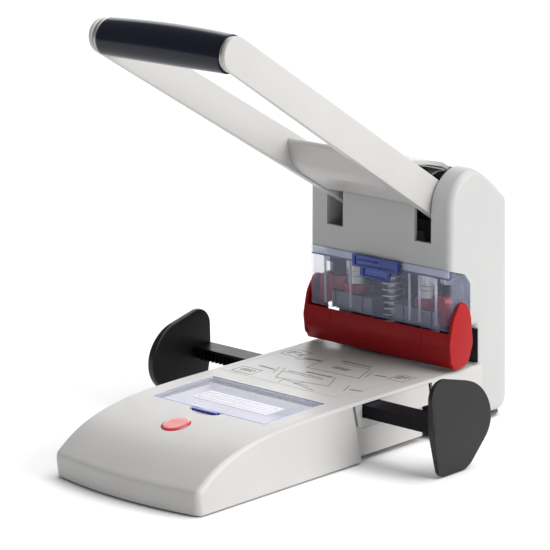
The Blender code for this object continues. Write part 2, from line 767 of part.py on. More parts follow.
def punch_lock():
    """Right red collar round the punch, with the finger wing that turns it."""
    lean = math.radians(-22.0)
    at = Vector((PUNCH_X, PUNCH_Y))
    along = Vector((math.cos(lean), math.sin(lean)))
    across = Vector((-along.y, along.x))

    def strip(r0, r1, half):
        corners = ((r0, -half), (r1, -half), (r1, half), (r0, half))
        return [at + along * r + across * w for r, w in corners]

    lock = rod_z(at, 12.9, 98.4, 106.0, 28)
    lock = join(lock, prism_z(strip(8.0, 33.0, 2.5), 99.0, 110.0))
    lobe = rounded([(21.5, 87.0, 5), (34.0, 87.0, 5), (34.0, 113.0, 6), (21.5, 113.0, 6)], 4)
    rings = []
    for width in (-3.2, 3.2):
        ring = []
        for point in lobe:
            spot = at + along * point.x + across * width
            ring.append((spot.x, spot.y, point.y))
        rings.append(ring)
    lock = join(lock, loft(rings))
    return cut(lock, rod_z(at, HOLDER_R + 0.4, 90.0, 120.0, 28))


def die_block():
    """Steel block under the table that carries the dies back to the frame."""
    body = box(-61.7, 61.7, 6.0, 60.0, 36.0, 48.9)
    for side in (-1, 1):
        body = cut(body, rod_z((side * PUNCH_X, PUNCH_Y), 5.0, 30.0, 60.0))
    return body


def die_plate():
    """Hardened plate flush with the table, with the two die holes."""
    body = box(-50.0, 50.0, 9.0, BASE_END_Y, 49.2, TABLE_Z - 0.1)
    for side in (-1, 1):
        body = cut(body, rod_z((side * PUNCH_X, PUNCH_Y), PUNCH_R + 0.4, 40.0, 60.0))
    return body


def chip_tray():
    """Drawer for the punched chips, pulled out at the back."""
    tray = box(-58.0, 58.0, -2.0, 75.6, 4.9, 30.0)
    tray = cut(tray, box(-56.0, 56.0, 0.0, 73.0, 7.0, 40.0))
    return cut(tray, box(-14.0, 14.0, 72.0, 80.0, 22.0, 40.0))


# ---------------------------------------------------------------- window, latch and flap

def window():
    """Clear cover round the front and sides of the head, with a ledge and the flap's pivot stubs."""
    thick = 2.2
    plan = rounded([(-HEAD_HALF, 27.0, 0), (-HEAD_HALF, 0.0, 6.0), (HEAD_HALF, 0.0, 6.0), (HEAD_HALF, 27.0, 0)], 4)
    inner = rounded([(-HEAD_HALF + thick, 40.0, 0), (-HEAD_HALF + thick, thick, 3.9),
                     (HEAD_HALF - thick, thick, 3.9), (HEAD_HALF - thick, 40.0, 0)], 4)
    body = cut(prism_z(plan, 86.0, 140.0), prism_z(inner, 80.0, 150.0))
    side = rounded([(-1.0, 80.0, 0), (-1.0, SEAM_Z - 0.1, 0), (0.5, SEAM_Z - 0.4, 0), (20.6, 130.3, 5.7),
                    (27.0, 121.8, 3), (27.0, 80.0, 0)], 4)
    body = combine(body, prism_x(side, -90.0, 90.0), "INTERSECT")
    body = join(body, box(-77.0, 77.0, 1.2, 7.0, 129.0, 130.6))
    for sign in (-1, 1):
        low, high = sorted((sign * 77.5, sign * 80.7))
        body = join(body, rod_x(FLAP_PIVOT, 3.0, low, high, 20))
    return body


def window_latch():
    """Blue sliding catch on the window's upper edge, with a smaller lip below it."""
    plate = prism_y(rounded([(-25.5, 137.0, 1.5), (-25.5, 127.0, 1.5), (25.5, 127.0, 1.5), (25.5, 137.0, 1.5)], 3),
                    -2.6, -0.3)
    lip = prism_y(rounded([(-15.0, 128.5, 0), (-12.0, 123.0, 2), (12.0, 123.0, 2), (15.0, 128.5, 0)], 3), -2.0, -0.3)
    return join(plate, lip)


def guard_flap():
    """Red bar across the throat with leaf-shaped ears that turn on the window's stubs."""
    top, low = Vector((-1.0, 84.6)), Vector((2.3, 54.5))
    chord = top - low
    bulge = 3.5
    radius = chord.length ** 2 / (8 * bulge) + bulge / 2
    inwards = Vector((chord.y, -chord.x)).normalized()
    centre = (top + low) / 2 + inwards * (radius - bulge)
    start = math.atan2(top.y - centre.y, top.x - centre.x) % (2 * math.pi)
    end = math.atan2(low.y - centre.y, low.x - centre.x) % (2 * math.pi)
    angles = [start + (end - start) * k / 8 for k in range(9)]
    outline = [outward(a, radius, centre) for a in angles]
    outline += [outward(a, radius - 2.0, centre) for a in reversed(angles)]
    bar = prism_x(outline, -82.0, 82.0)
    ear = rounded([(14.0, 114.0, 6.5), (24.0, 98.0, 22), (26.2, 72.0, 16), (20.0, 55.5, 9), (6.5, 52.6, 8),
                   (-2.0, 60.0, 5), (-3.6, 76.0, 12), (1.0, 96.0, 30)], 3)
    for sign in (-1, 1):
        low_x, high_x = sorted((sign * 79.2, sign * 82.6))
        plate = soft_prism_x(ear, low_x, high_x, 0.8, 1)
        hole = sorted((sign * 70.0, sign * 81.0))
        bar = join(bar, plate)
        bar = cut(bar, rod_x(FLAP_PIVOT, 3.3, hole[0], hole[1], 20))
    return bar


def flap_buffer():
    """Soft clear pad behind the flap's lower edge."""
    return prism_x(rounded([(4.7, 61.5, 1), (9.5, 59.5, 2), (9.5, 52.3, 1), (4.7, 52.3, 1)], 2), 35.0, 51.0)


def build():
    """Make every piece of the punch."""
    for item in list(bpy.data.objects):
        bpy.data.objects.remove(item)
    shell = material("shell_plastic", (0.80, 0.79, 0.76), 0.45)
    head = material("head_plastic", (0.62, 0.62, 0.61), 0.5)
    black = material("guide_plastic", (0.03, 0.03, 0.035), 0.3)
    navy = material("grip_plastic", (0.012, 0.014, 0.03), 0.2)
    silver = material("ring_plastic", (0.55, 0.55, 0.56), 0.35)
    red = material("flap_plastic", (0.45, 0.02, 0.02), 0.35)
    button_red = material("button_plastic", (0.75, 0.04, 0.03), 0.3)
    lock_red = material("lock_plastic", (0.5, 0.05, 0.1), 0.35)
    clear = material("clear_plastic", (0.85, 0.88, 0.95), 0.08, clear=0.9)
    blue = material("blue_plastic", (0.05, 0.12, 0.5), 0.15, clear=0.5)
    steel = material("steel", (0.55, 0.56, 0.58), 0.3, 1.0)
    spring_steel = material("spring_steel", (0.6, 0.6, 0.6), 0.25, 1.0)
    gear = material("gear_plastic", (0.33, 0.35, 0.38), 0.5)
    pale = material("inner_plastic", (0.75, 0.75, 0.78), 0.5)
    rubber = material("rubber", (0.02, 0.02, 0.02), 0.8)
    card = material("card", (0.9, 0.9, 0.92), 0.6)

    deliver("base_shell", base_shell(), shell)
    deliver("base_plate", base_plate(), steel)
    deliver("button_post", button_post(), gear)
    for label, x, y in (("front_left", -60, -270), ("front_right", 60, -270), ("rear_left", -60, 55),
                        ("rear_right", 60, 55)):
        deliver("foot_" + label, foot(x, y), rubber)
    deliver("side_panel_left", side_panel(-1), head)
    deliver("side_panel_right", side_panel(1), head)
    deliver("compartment_tray", compartment_tray(), head)
    deliver("compartment_lid", compartment_lid(), clear, (0.0, *LID_HINGE))
    deliver("lid_tab", lid_tab(), blue, (0.0, *LID_HINGE))
    deliver("label_card", label_card(), card, (0.0, *LID_HINGE))
    deliver("release_button", release_button(), button_red, (0.0, BUTTON_Y, 40.0))
    deliver("button_spring", coil((0.0, BUTTON_Y), 6.0, 0.6, 30.4, 36.9, 4), spring_steel)

    deliver("rack_channel", rack_channel(), gear)
    deliver("rack_bar_right", rack_bar(), black)
    deliver("rack_bar_left", half_turn(rack_bar()), black)
    deliver("stop_paddle_right", stop_paddle(), black)
    deliver("stop_paddle_left", half_turn(stop_paddle()), black)
    deliver("pinion", pinion(), pale, (0.0, PINION_Y, 43.0))
    deliver("pinion_stud", rod_z((0.0, PINION_Y), 3.0, 4.6, 48.8, 20), steel)

    deliver("column_cover", column_cover(), head)
    deliver("top_cover", top_cover(), head)
    deliver("inner_backplate", inner_backplate(), pale)
    deliver("cheek_liner_right", cheek_liner(), head)
    deliver("cheek_liner_left", mirrored(cheek_liner()), head)
    deliver("frame_plate_right", frame_plate(), steel)
    deliver("frame_plate_left", mirrored(frame_plate()), steel)
    deliver("axle", rod_x(PIVOT, AXLE_R, -70.0, 70.0), steel)
    deliver("axle_clip_right", axle_clip(), spring_steel)
    deliver("axle_clip_left", mirrored(axle_clip()), spring_steel)

    hinge = (0.0, PIVOT[0], PIVOT[1])
    deliver("handle_arm_right", handle_arm(), shell, hinge)
    deliver("handle_arm_left", mirrored(handle_arm()), shell, hinge)
    deliver("handle_hood", handle_hood(), shell, hinge)
    deliver("handle_hub", handle_hub(), gear, hinge)
    deliver("grip", grip(), navy, hinge)
    deliver("grip_ring_right", grip_ring(), silver, hinge)
    deliver("grip_ring_left", mirrored(grip_ring()), silver, hinge)

    pin = crank_point()
    deliver("drive_link_right", drive_link(), steel, (0.0, pin.x, pin.y))
    deliver("drive_link_left", mirrored(drive_link()), steel, (0.0, pin.x, pin.y))
    deliver("yoke", yoke(), gear)
    deliver("guide_post", rod_z((0.0, PUNCH_Y), 5.2, 80.3, 168.0), steel)
    deliver("return_spring", coil((0.0, PUNCH_Y), 9.6, 1.1, 77.4, 139.6, 12), spring_steel)
    deliver("punch_guide", punch_guide(), gear)
    deliver("punch_holder_right", punch_holder(), steel)
    deliver("punch_holder_left", mirrored(punch_holder()), steel)
    deliver("punch_right", punch(), steel)
    deliver("punch_left", mirrored(punch()), steel)
    deliver("punch_lock_right", punch_lock(), lock_red, (PUNCH_X, PUNCH_Y, 100.0))
    deliver("punch_lock_left", mirrored(punch_lock()), lock_red, (-PUNCH_X, PUNCH_Y, 100.0))
    deliver("die_block", die_block(), steel)
    deliver("die_plate", die_plate(), steel)
    deliver("chip_tray", chip_tray(), gear)

    deliver("window", window(), clear, (0.0, *WINDOW_HINGE))
    deliver("window_latch", window_latch(), blue)
    deliver("guard_flap", guard_flap(), red, (0.0, *FLAP_PIVOT))
    deliver("flap_buffer_right", flap_buffer(), clear, (0.0, *FLAP_PIVOT))
    deliver("flap_buffer_left", mirrored(flap_buffer()), clear, (0.0, *FLAP_PIVOT))


build()
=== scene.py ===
"""Looks of the heavy-duty hole punch: fine shapes, procedural materials, studio and camera.

Shapes are laid out in millimetres around the head, X across, Y towards the back with y = 0 at the head's
front face, Z up from the floor. piece() turns them into metres in the frame's own axes.
"""
import math

import bmesh
import bpy
from mathutils import Matrix, Vector


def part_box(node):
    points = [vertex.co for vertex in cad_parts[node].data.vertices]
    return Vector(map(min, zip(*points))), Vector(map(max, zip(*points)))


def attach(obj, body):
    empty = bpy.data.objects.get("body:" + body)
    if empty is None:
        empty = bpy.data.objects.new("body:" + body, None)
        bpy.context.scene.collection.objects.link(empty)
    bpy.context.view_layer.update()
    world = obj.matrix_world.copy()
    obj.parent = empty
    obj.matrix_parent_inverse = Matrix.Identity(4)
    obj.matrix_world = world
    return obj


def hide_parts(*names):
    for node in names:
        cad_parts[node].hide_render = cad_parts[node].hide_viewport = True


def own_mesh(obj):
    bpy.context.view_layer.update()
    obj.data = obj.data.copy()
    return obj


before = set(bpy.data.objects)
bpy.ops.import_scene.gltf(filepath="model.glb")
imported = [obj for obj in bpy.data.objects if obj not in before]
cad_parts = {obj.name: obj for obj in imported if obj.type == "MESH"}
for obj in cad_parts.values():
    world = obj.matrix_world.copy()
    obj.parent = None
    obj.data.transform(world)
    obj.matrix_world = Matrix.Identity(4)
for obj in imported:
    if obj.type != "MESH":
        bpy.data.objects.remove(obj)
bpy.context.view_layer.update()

MM = 0.001
HEAD_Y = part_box("window")[0].y / MM


def low(node):
    """Lowest corner of a CAD node in the head's millimetres."""
    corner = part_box(node)[0] / MM
    return Vector((corner.x, corner.y - HEAD_Y, corner.z))


def high(node):
    """Highest corner of a CAD node in the head's millimetres."""
    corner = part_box(node)[1] / MM
    return Vector((corner.x, corner.y - HEAD_Y, corner.z))


def middle(node):
    """Middle of a CAD node's box in the head's millimetres."""
    return (low(node) + high(node)) / 2


BASE_HALF = high("base_shell").x
TABLE_Z = high("base_shell").z
SKIRT_Z = low("base_shell").z
HEAD_HALF = high("column_cover").x
BACK_Y = high("column_cover").y
COLUMN_Z = low("column_cover").z
AXLE = middle("axle")
PIVOT = (AXLE.y, AXLE.z)
PUNCH_X = middle("punch_right").x
PUNCH_Y = middle("punch_right").y
BUTTON = middle("button_post")
PINION = middle("pinion")
RACK_Z = (low("rack_bar_right").z, high("rack_bar_right").z)
PADDLE_X = (low("stop_paddle_right").x, high("stop_paddle_right").x)
THROAT_Y = 33.0
THROAT_Z = 84.0
THROAT_BACK_Y = 37.4
SEAM_Z = 137.3
SLOT_IN = 40.0
SLOT_OUT = 57.9
SLOT_Z = 157.0
BLOCK_TOP_Z = 187.0
SHELL = 3.0
WALL = 2.4
GAP = 0.3
NOSE_Y = -291.5
NOSE_BOW = 8.5
LIP_Z = 21.5
ARM_TILT = math.radians(32.1)
GRIP_S = 317.4
ARM_MID_T = -2.0
ARM_HALF_T = 14.2
ARM_OUT = (54.6, 73.8)
ARM_IN = (45.0, 69.9)
GRIP_HALF = 67.2
FLAP_PIVOT = (14.0, 98.0)
RETURN_SPRING_FOOT = 77.4
BUTTON_SPRING_FOOT = 30.4


# ---------------------------------------------------------------- outlines and solids

def outward(angle, radius, centre=(0.0, 0.0)):
    """Point at an angle and a radius round a centre, in a flat outline."""
    return Vector((centre[0] + radius * math.cos(angle), centre[1] + radius * math.sin(angle)))


def circle(centre, radius, count=48):
    """Closed round outline."""
    return [outward(2 * math.pi * k / count, radius, centre) for k in range(count)]


def rounded(corners, steps=8):
    """Closed outline through corners (a, b, radius), each one turned by an arc of its radius."""
    outline = []
    for index, (a, b, radius) in enumerate(corners):
        here = Vector((a, b))
        if radius <= 0:
            outline.append(here)
            continue
        before = (Vector(corners[index - 1][:2]) - here).normalized()
        after = (Vector(corners[(index + 1) % len(corners)][:2]) - here).normalized()
        half = before.angle(after) / 2
        centre = here + (before + after).normalized() * (radius / math.sin(half))
        reach = radius / math.tan(half)
        first = here + before * reach - centre
        last = here + after * reach - centre
        start = math.atan2(first.y, first.x)
        turn = (math.atan2(last.y, last.x) - start + math.pi) % (2 * math.pi) - math.pi
        outline += [outward(start + turn * k / steps, radius, centre) for k in range(steps + 1)]
    return outline


def area(outline):
    """Signed area, positive when the outline runs counter-clockwise."""
    pairs = zip(outline, outline[1:] + outline[:1])
    return sum(p.x * q.y - q.x * p.y for p, q in pairs) / 2


def inset(outline, distance):
    """The outline moved inwards by a distance, its corners kept."""
    side = 1.0 if area(outline) > 0 else -1.0
    moved = []
    for index, here in enumerate(outline):
        back = (here - outline[index - 1]).normalized()
        ahead = (outline[(index + 1) % len(outline)] - here).normalized()
        normal_a = Vector((-back.y, back.x)) * side
        normal_b = Vector((-ahead.y, ahead.x)) * side
        between = (normal_a + normal_b).normalized()
        moved.append(here + between * (distance / max(between.dot(normal_a), 0.3)))
    return moved


def loft(rings):
    """Closed solid through rings with equal numbers of points."""
    bm = bmesh.new()
    layers = [[bm.verts.new(point) for point in ring] for ring in rings]
    for under, over in zip(layers, layers[1:]):
        for k in range(len(under)):
            after = (k + 1) % len(under)
            bm.faces.new((under[k], under[after], over[after], over[k]))
    bm.faces.new(layers[0])
    bm.faces.new(list(reversed(layers[-1])))
    bmesh.ops.recalc_face_normals(bm, faces=bm.faces)
    return bm


def prism_x(outline, x0, x1):
    """A (y, z) outline extruded across the punch."""
    return loft([[(x, p[0], p[1]) for p in outline] for x in (x0, x1)])


def prism_y(outline, y0, y1):
    """An (x, z) outline extruded along the punch."""
    return loft([[(p[0], y, p[1]) for p in outline] for y in (y0, y1)])


def prism_z(outline, z0, z1):
    """An (x, y) outline extruded upwards."""
    return loft([[(p[0], p[1], z) for p in outline] for z in (z0, z1)])


def soft_stations(x0, x1, radius, steps):
    """Places along an extrusion with the inset that rounds both of its ends."""
    ends = []
    for k in range(steps + 1):
        angle = math.pi / 2 * k / steps
        ends.append((radius * (1 - math.sin(angle)), radius * (1 - math.cos(angle))))
    first = [(x0 + depth, amount) for amount, depth in ends]
    last = [(x1 - depth, amount) for amount, depth in reversed(ends)]
    return first + last


def soft_prism_x(outline, x0, x1, radius, steps=5):
    """prism_x with both end edges rounded."""
    rings = []
    for x, amount in soft_stations(x0, x1, radius, steps):
        rings.append([(x, p.x, p.y) for p in inset(outline, amount)])
    return loft(rings)


def box(x0, x1, y0, y1, z0, z1):
    """Plain block, used for cuts and as a start for joined shapes."""
    return prism_z([Vector((x0, y0)), Vector((x1, y0)), Vector((x1, y1)), Vector((x0, y1))], z0, z1)


def rod_x(centre, radius, x0, x1, count=48):
    """Round bar across the punch, its centre given as (y, z)."""
    return prism_x(circle(centre, radius, count), x0, x1)


def rod_z(centre, radius, z0, z1, count=48):
    """Upright round bar, its centre given as (x, y)."""
    return prism_z(circle(centre, radius, count), z0, z1)


def turned_z(centre, profile, count=48):
    """Solid of revolution about an upright axis from (radius, z) pairs, from one end to the other."""
    return loft([[(p.x, p.y, z) for p in circle(centre, radius, count)] for radius, z in profile])


def combine(base, tool, operation):
    """Boolean of two solids, which are used up."""
    parts = []
    for bm in (base, tool):
        mesh = bpy.data.meshes.new("step")
        bm.to_mesh(mesh)
        bm.free()
        holder = bpy.data.objects.new("step", mesh)
        bpy.context.scene.collection.objects.link(holder)
        parts.append(holder)
    modifier = parts[0].modifiers.new("combine", "BOOLEAN")
    modifier.object = parts[1]
    modifier.operation = operation
    modifier.solver = "EXACT"
    bpy.context.view_layer.update()
    evaluated = parts[0].evaluated_get(bpy.context.evaluated_depsgraph_get())
    result = bmesh.new()
    result.from_mesh(evaluated.to_mesh())
    for holder in parts:
        mesh = holder.data
        bpy.data.objects.remove(holder)
        bpy.data.meshes.remove(mesh)
    bmesh.ops.dissolve_degenerate(result, dist=0.0005, edges=result.edges)
    return result


def cut(base, *tools):
    """Take each tool away from the base."""
    for tool in tools:
        base = combine(base, tool, "DIFFERENCE")
    return base


def join(base, *tools):
    """Add each tool to the base."""
    for tool in tools:
        base = combine(base, tool, "UNION")
    return base


def mirrored(bm):
    """The same solid on the other side of the middle plane."""
    for vert in bm.verts:
        vert.co.x = -vert.co.x
    bmesh.ops.reverse_faces(bm, faces=bm.faces)
    return bm


def same(bm):
    """The solid as it is, for the right-hand one of a pair."""
    return bm


def half_turn(bm):
    """The same solid turned half round about the pinion's axis."""
    for vert in bm.verts:
        vert.co.x = -vert.co.x
        vert.co.y = 2 * PINION.y - vert.co.y
    return bm


def smooth_step(value):
    """0 below 0, 1 above 1, with a soft change between."""
    value = min(max(value, 0.0), 1.0)
    return value * value * (3 - 2 * value)


def piece(name, bm, made_of, body, replaced=(), edge=0.0, steps=2, sharp=35.0, accent=None):
    """Put a finished solid into the scene on its body, with small rounded edges.

    accent is (material, test): faces whose normal passes the test take that second material.
    """
    mesh = bpy.data.meshes.new(name)
    for vert in bm.verts:
        vert.co = Vector((vert.co.x, vert.co.y + HEAD_Y, vert.co.z)) * MM
    if accent:
        bm.normal_update()
        for face in bm.faces:
            if accent[1](face):
                face.material_index = 1
    bm.to_mesh(mesh)
    bm.free()
    mesh.materials.append(made_of)
    if accent:
        mesh.materials.append(accent[0])
    mesh.shade_smooth()
    mesh.set_sharp_from_angle(angle=math.radians(sharp))
    made = bpy.data.objects.new(name, mesh)
    bpy.context.scene.collection.objects.link(made)
    if edge:
        bevel = made.modifiers.new("edge", "BEVEL")
        bevel.width = edge * MM
        bevel.segments = steps
        bevel.limit_method = "ANGLE"
        bevel.angle_limit = math.radians(sharp)
        bevel.harden_normals = True
        bevel.use_clamp_overlap = True
    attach(made, body)
    if replaced:
        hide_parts(*replaced)
    return made


# ---------------------------------------------------------------- materials

def new_material(name, colour, roughness, metallic=0.0):
    """Material with its shader, and helpers' inputs left at their defaults."""
    made = bpy.data.materials.new(name)
    made.use_nodes = True
    shader = made.node_tree.nodes["Principled BSDF"]
    shader.inputs["Base Color"].default_value = (*colour, 1.0)
    shader.inputs["Roughness"].default_value = roughness
    shader.inputs["Metallic"].default_value = metallic
    made.diffuse_color = (*colour, 1.0)
    return made, made.node_tree, shader


def noise_node(tree, scale, detail=3.0, stretch=(1.0, 1.0, 1.0)):
    """Noise in the object's own coordinates; scale is in cycles per metre."""
    place = tree.nodes.new("ShaderNodeTexCoord")
    mapping = tree.nodes.new("ShaderNodeMapping")
    mapping.inputs["Scale"].default_value = stretch
    texture = tree.nodes.new("ShaderNodeTexNoise")
    texture.inputs["Scale"].default_value = scale
    texture.inputs["Detail"].default_value = detail
    tree.links.new(place.outputs["Object"], mapping.inputs["Vector"])
    tree.links.new(mapping.outputs["Vector"], texture.inputs["Vector"])
    return texture.outputs["Fac"]


def spread(tree, value, low_end, high_end):
    """Map a noise value, most of which lies between 0.3 and 0.7, onto a range."""
    node = tree.nodes.new("ShaderNodeMapRange")
    node.inputs["From Min"].default_value = 0.3
    node.inputs["From Max"].default_value = 0.7
    node.inputs["To Min"].default_value = low_end
    node.inputs["To Max"].default_value = high_end
    tree.links.new(value, node.inputs["Value"])
    return node.outputs["Result"]


def tint(tree, shader, colour, other, factor):
    """Blend two colours by a factor into the shader's base colour."""
    mix = tree.nodes.new("ShaderNodeMix")
    mix.data_type = "RGBA"
    mix.inputs["A"].default_value = (*colour, 1.0)
    mix.inputs["B"].default_value = (*other, 1.0)
    tree.links.new(factor, mix.inputs["Factor"])
    tree.links.new(mix.outputs["Result"], shader.inputs["Base Color"])


def bump(tree, shader, height, distance, strength=1.0):
    """Surface relief from a height value; distance is in metres."""
    node = tree.nodes.new("ShaderNodeBump")
    node.inputs["Distance"].default_value = distance
    node.inputs["Strength"].default_value = strength
    tree.links.new(height, node.inputs["Height"])
    tree.links.new(node.outputs["Normal"], shader.inputs["Normal"])


def moulded(name, colour, roughness, grain=2600.0, relief=0.000012, shade=0.95, gloss_change=0.04,
            specular=0.5):
    """Moulded plastic: fine spark-eroded grain, faint flow clouds and handled patches."""
    made, tree, shader = new_material(name, colour, roughness)
    shader.inputs["Specular IOR Level"].default_value = specular
    clouds = spread(tree, noise_node(tree, 14.0, 2.0), 0.0, 1.0)
    darker = tuple(channel * shade for channel in colour)
    tint(tree, shader, colour, darker, clouds)
    patches = spread(tree, noise_node(tree, 60.0, 4.0), roughness - gloss_change, roughness + gloss_change)
    tree.links.new(patches, shader.inputs["Roughness"])
    bump(tree, shader, noise_node(tree, grain, 2.0), relief)
    return made


def glossy(name, colour, roughness, coat=0.6, shade=0.85):
    """Polished plastic with a clear sheen over faint orange-peel and hairline scuffs."""
    made, tree, shader = new_material(name, colour, roughness)
    shader.inputs["Coat Weight"].default_value = coat
    shader.inputs["Coat Roughness"].default_value = 0.12
    clouds = spread(tree, noise_node(tree, 20.0, 2.0), 0.0, 1.0)
    tint(tree, shader, colour, tuple(channel * shade for channel in colour), clouds)
    scuffs = spread(tree, noise_node(tree, 180.0, 6.0, (0.15, 1.0, 1.0)), roughness, roughness + 0.12)
    tree.links.new(scuffs, shader.inputs["Roughness"])
    bump(tree, shader, noise_node(tree, 420.0, 1.0), 0.000012)
    return made


def clear(name, colour, face_on, glancing, roughness=0.06, shade=0.85):
    """Clear plastic: nearly open face on and denser at a glancing angle, with faint wipe marks."""
    made, tree, shader = new_material(name, colour, roughness)
    shader.inputs["IOR"].default_value = 1.5
    facing = tree.nodes.new("ShaderNodeLayerWeight")
    facing.inputs["Blend"].default_value = 0.35
    veil = tree.nodes.new("ShaderNodeMapRange")
    veil.inputs["To Min"].default_value = face_on
    veil.inputs["To Max"].default_value = glancing
    tree.links.new(facing.outputs["Facing"], veil.inputs["Value"])
    tree.links.new(veil.outputs["Result"], shader.inputs["Alpha"])
    clouds = spread(tree, noise_node(tree, 30.0, 3.0), 0.0, 1.0)
    tint(tree, shader, colour, tuple(channel * shade for channel in colour), clouds)
    marks = spread(tree, noise_node(tree, 90.0, 5.0, (1.0, 1.0, 0.3)), roughness, roughness + 0.05)
    tree.links.new(marks, shader.inputs["Roughness"])
    bump(tree, shader, noise_node(tree, 60.0, 1.0), 0.00002)
    return made


def metal(name, colour, roughness, brushed=(1.0, 1.0, 0.04), scale=1400.0, shade=0.8):
    """Steel with fine tool marks along one direction."""
    made, tree, shader = new_material(name, colour, roughness, 1.0)
    clouds = spread(tree, noise_node(tree, 35.0, 3.0), 0.0, 1.0)
    tint(tree, shader, colour, tuple(channel * shade for channel in colour), clouds)
    marks = noise_node(tree, scale, 4.0, brushed)
    tree.links.new(spread(tree, marks, roughness - 0.06, roughness + 0.1), shader.inputs["Roughness"])
    bump(tree, shader, marks, 0.00001)
    return made


def printed(name, colour, roughness=0.6):
    """Matt printing ink or card with a fine fibre tone."""
    made, tree, shader = new_material(name, colour, roughness)
    fibres = spread(tree, noise_node(tree, 900.0, 4.0), 0.0, 1.0)
    tint(tree, shader, colour, tuple(min(1.0, channel * 0.88 + 0.01) for channel in colour), fibres)
    bump(tree, shader, noise_node(tree, 1500.0, 3.0), 0.000008)
    return made


SHELL_GREY = moulded("shell_plastic", (0.5, 0.492, 0.48), 0.37)
# The head's grey is kept a little darker than the base's grey of the same plastic: painted shade for the
# head, which gets less light bounced from the floor.
SHADED_HEAD_GREY = moulded("head_plastic", (0.47, 0.477, 0.47), 0.42)
BLACK = moulded("guide_plastic", (0.003, 0.0035, 0.006), 0.36, 1800.0, 0.000004, 0.8, 0.02, 0.12)
PADDLE_BLACK = moulded("paddle_plastic", (0.006, 0.0065, 0.0075), 0.32, 1800.0, 0.000003, 0.8, 0.02, 0.35)
NAVY = moulded("grip_plastic", (0.0015, 0.003, 0.013), 0.2, 1800.0, 0.000002, 0.9, 0.02, 0.3)
SILVER = metal("ring_plastic", (0.42, 0.41, 0.39), 0.36, (0.05, 1.0, 1.0), 1500.0, 0.9)
RED = moulded("flap_plastic", (0.34, 0.004, 0.007), 0.36, 2200.0, 0.000005, 0.92, 0.02, 0.2)
BUTTON_RED = glossy("button_plastic", (0.6, 0.02, 0.025), 0.2, 0.6)
LOCK_RED = moulded("lock_plastic", (0.3, 0.004, 0.015), 0.34)
CLEAR = clear("clear_plastic", (0.6, 0.64, 0.84), 0.06, 0.4)
CLEAR_EDGE = clear("clear_plastic_edge", (0.34, 0.42, 0.76), 0.5, 0.75)
# Pale clear plastic of the band behind the window's top edge, also used for the ribs that are painted
# highlight streaks on the window.
PALE_CLEAR_AND_HIGHLIGHT = clear("pale_clear_band_and_painted_highlight", (0.78, 0.8, 0.95), 0.5, 0.75)
CLEAR_BLUE = clear("clear_plastic_blue", (0.1, 0.18, 0.62), 0.5, 0.9)
LID_CLEAR = clear("lid_plastic", (0.75, 0.77, 0.9), 0.08, 0.3)
BLUE = clear("blue_plastic", (0.012, 0.045, 0.34), 0.85, 0.95)
STEEL = metal("steel", (0.5, 0.51, 0.53), 0.3)
BRIGHT = metal("spring_steel", (0.85, 0.85, 0.86), 0.2, (1.0, 1.0, 1.0), 900.0)
GEAR_GREY = moulded("gear_plastic", (0.16, 0.18, 0.24), 0.4)
# Near black for the throat's back wall, the slots' back plate and the handle's hub: painted shade for hollows
# that lie in shadow.
SHADE_DARK_GREY = moulded("painted_shade_inner_plastic", (0.03, 0.033, 0.04), 0.5)
PALE = moulded("inner_plastic", (0.5, 0.52, 0.6), 0.5)
TRAY_WHITE = moulded("tray_plastic", (0.8, 0.79, 0.86), 0.45)
# Near-black base plate: painted shadow for the gap under the side blocks.
SHADOW_DARK_PLATE = moulded("dark_plate_painted_shadow", (0.06, 0.06, 0.065), 0.5)
RUBBER = moulded("rubber", (0.015, 0.015, 0.016), 0.75, 1200.0, 0.00004)
CARD = printed("card", (0.88, 0.84, 0.88))
INK_DARK = printed("ink_dark", (0.006, 0.006, 0.008), 0.5)
INK_GREY = printed("ink_grey", (0.01, 0.01, 0.012), 0.5)
INK_FAINT = printed("ink_faint", (0.4, 0.4, 0.4), 0.5)
FLOOR = moulded("studio_floor", (0.93, 0.93, 0.93), 0.8, 300.0, 0.00001, 0.995, 0.02)


# ---------------------------------------------------------------- base

TOP_LINE = ((60.0, TABLE_Z), (-150.0, TABLE_Z), (-200.0, 50.2), (-232.0, 46.4), (-257.0, 40.2),
            (-275.5, 32.0), (NOSE_Y, LIP_Z))


def top_line(count):
    """Smooth line of the base's top along its middle, from its back to the lip."""
    points = [Vector(point) for point in TOP_LINE]
    line = []
    for index in range(len(points) - 1):
        before = points[max(index - 1, 0)]
        start, end = points[index], points[index + 1]
        after = points[min(index + 2, len(points) - 1)]
        pieces = max(1, round((start - end).length / 310.0 * count))
        for k in range(pieces):
            t = k / pieces
            slope_a = (end - before) * 0.5
            slope_b = (after - start) * 0.5
            if index == 0:
                slope_a = slope_b = end - start
            if index == 1:
                slope_a = Vector((end.x - start.x, 0.0))
            line.append(start * (2 * t ** 3 - 3 * t ** 2 + 1) + slope_a * (t ** 3 - 2 * t ** 2 + t)
                        + end * (3 * t ** 2 - 2 * t ** 3) + slope_b * (t ** 3 - t ** 2))
    line.append(points[-1])
    return line


FINE_TOP = top_line(60)


def top_z(y):
    """Height of the base's top at a place along it."""
    for over, under in zip(FINE_TOP, FINE_TOP[1:]):
        if under.x <= y <= over.x:
            return under.y + (over.y - under.y) * (y - under.x) / (over.x - under.x)
    return FINE_TOP[-1].y


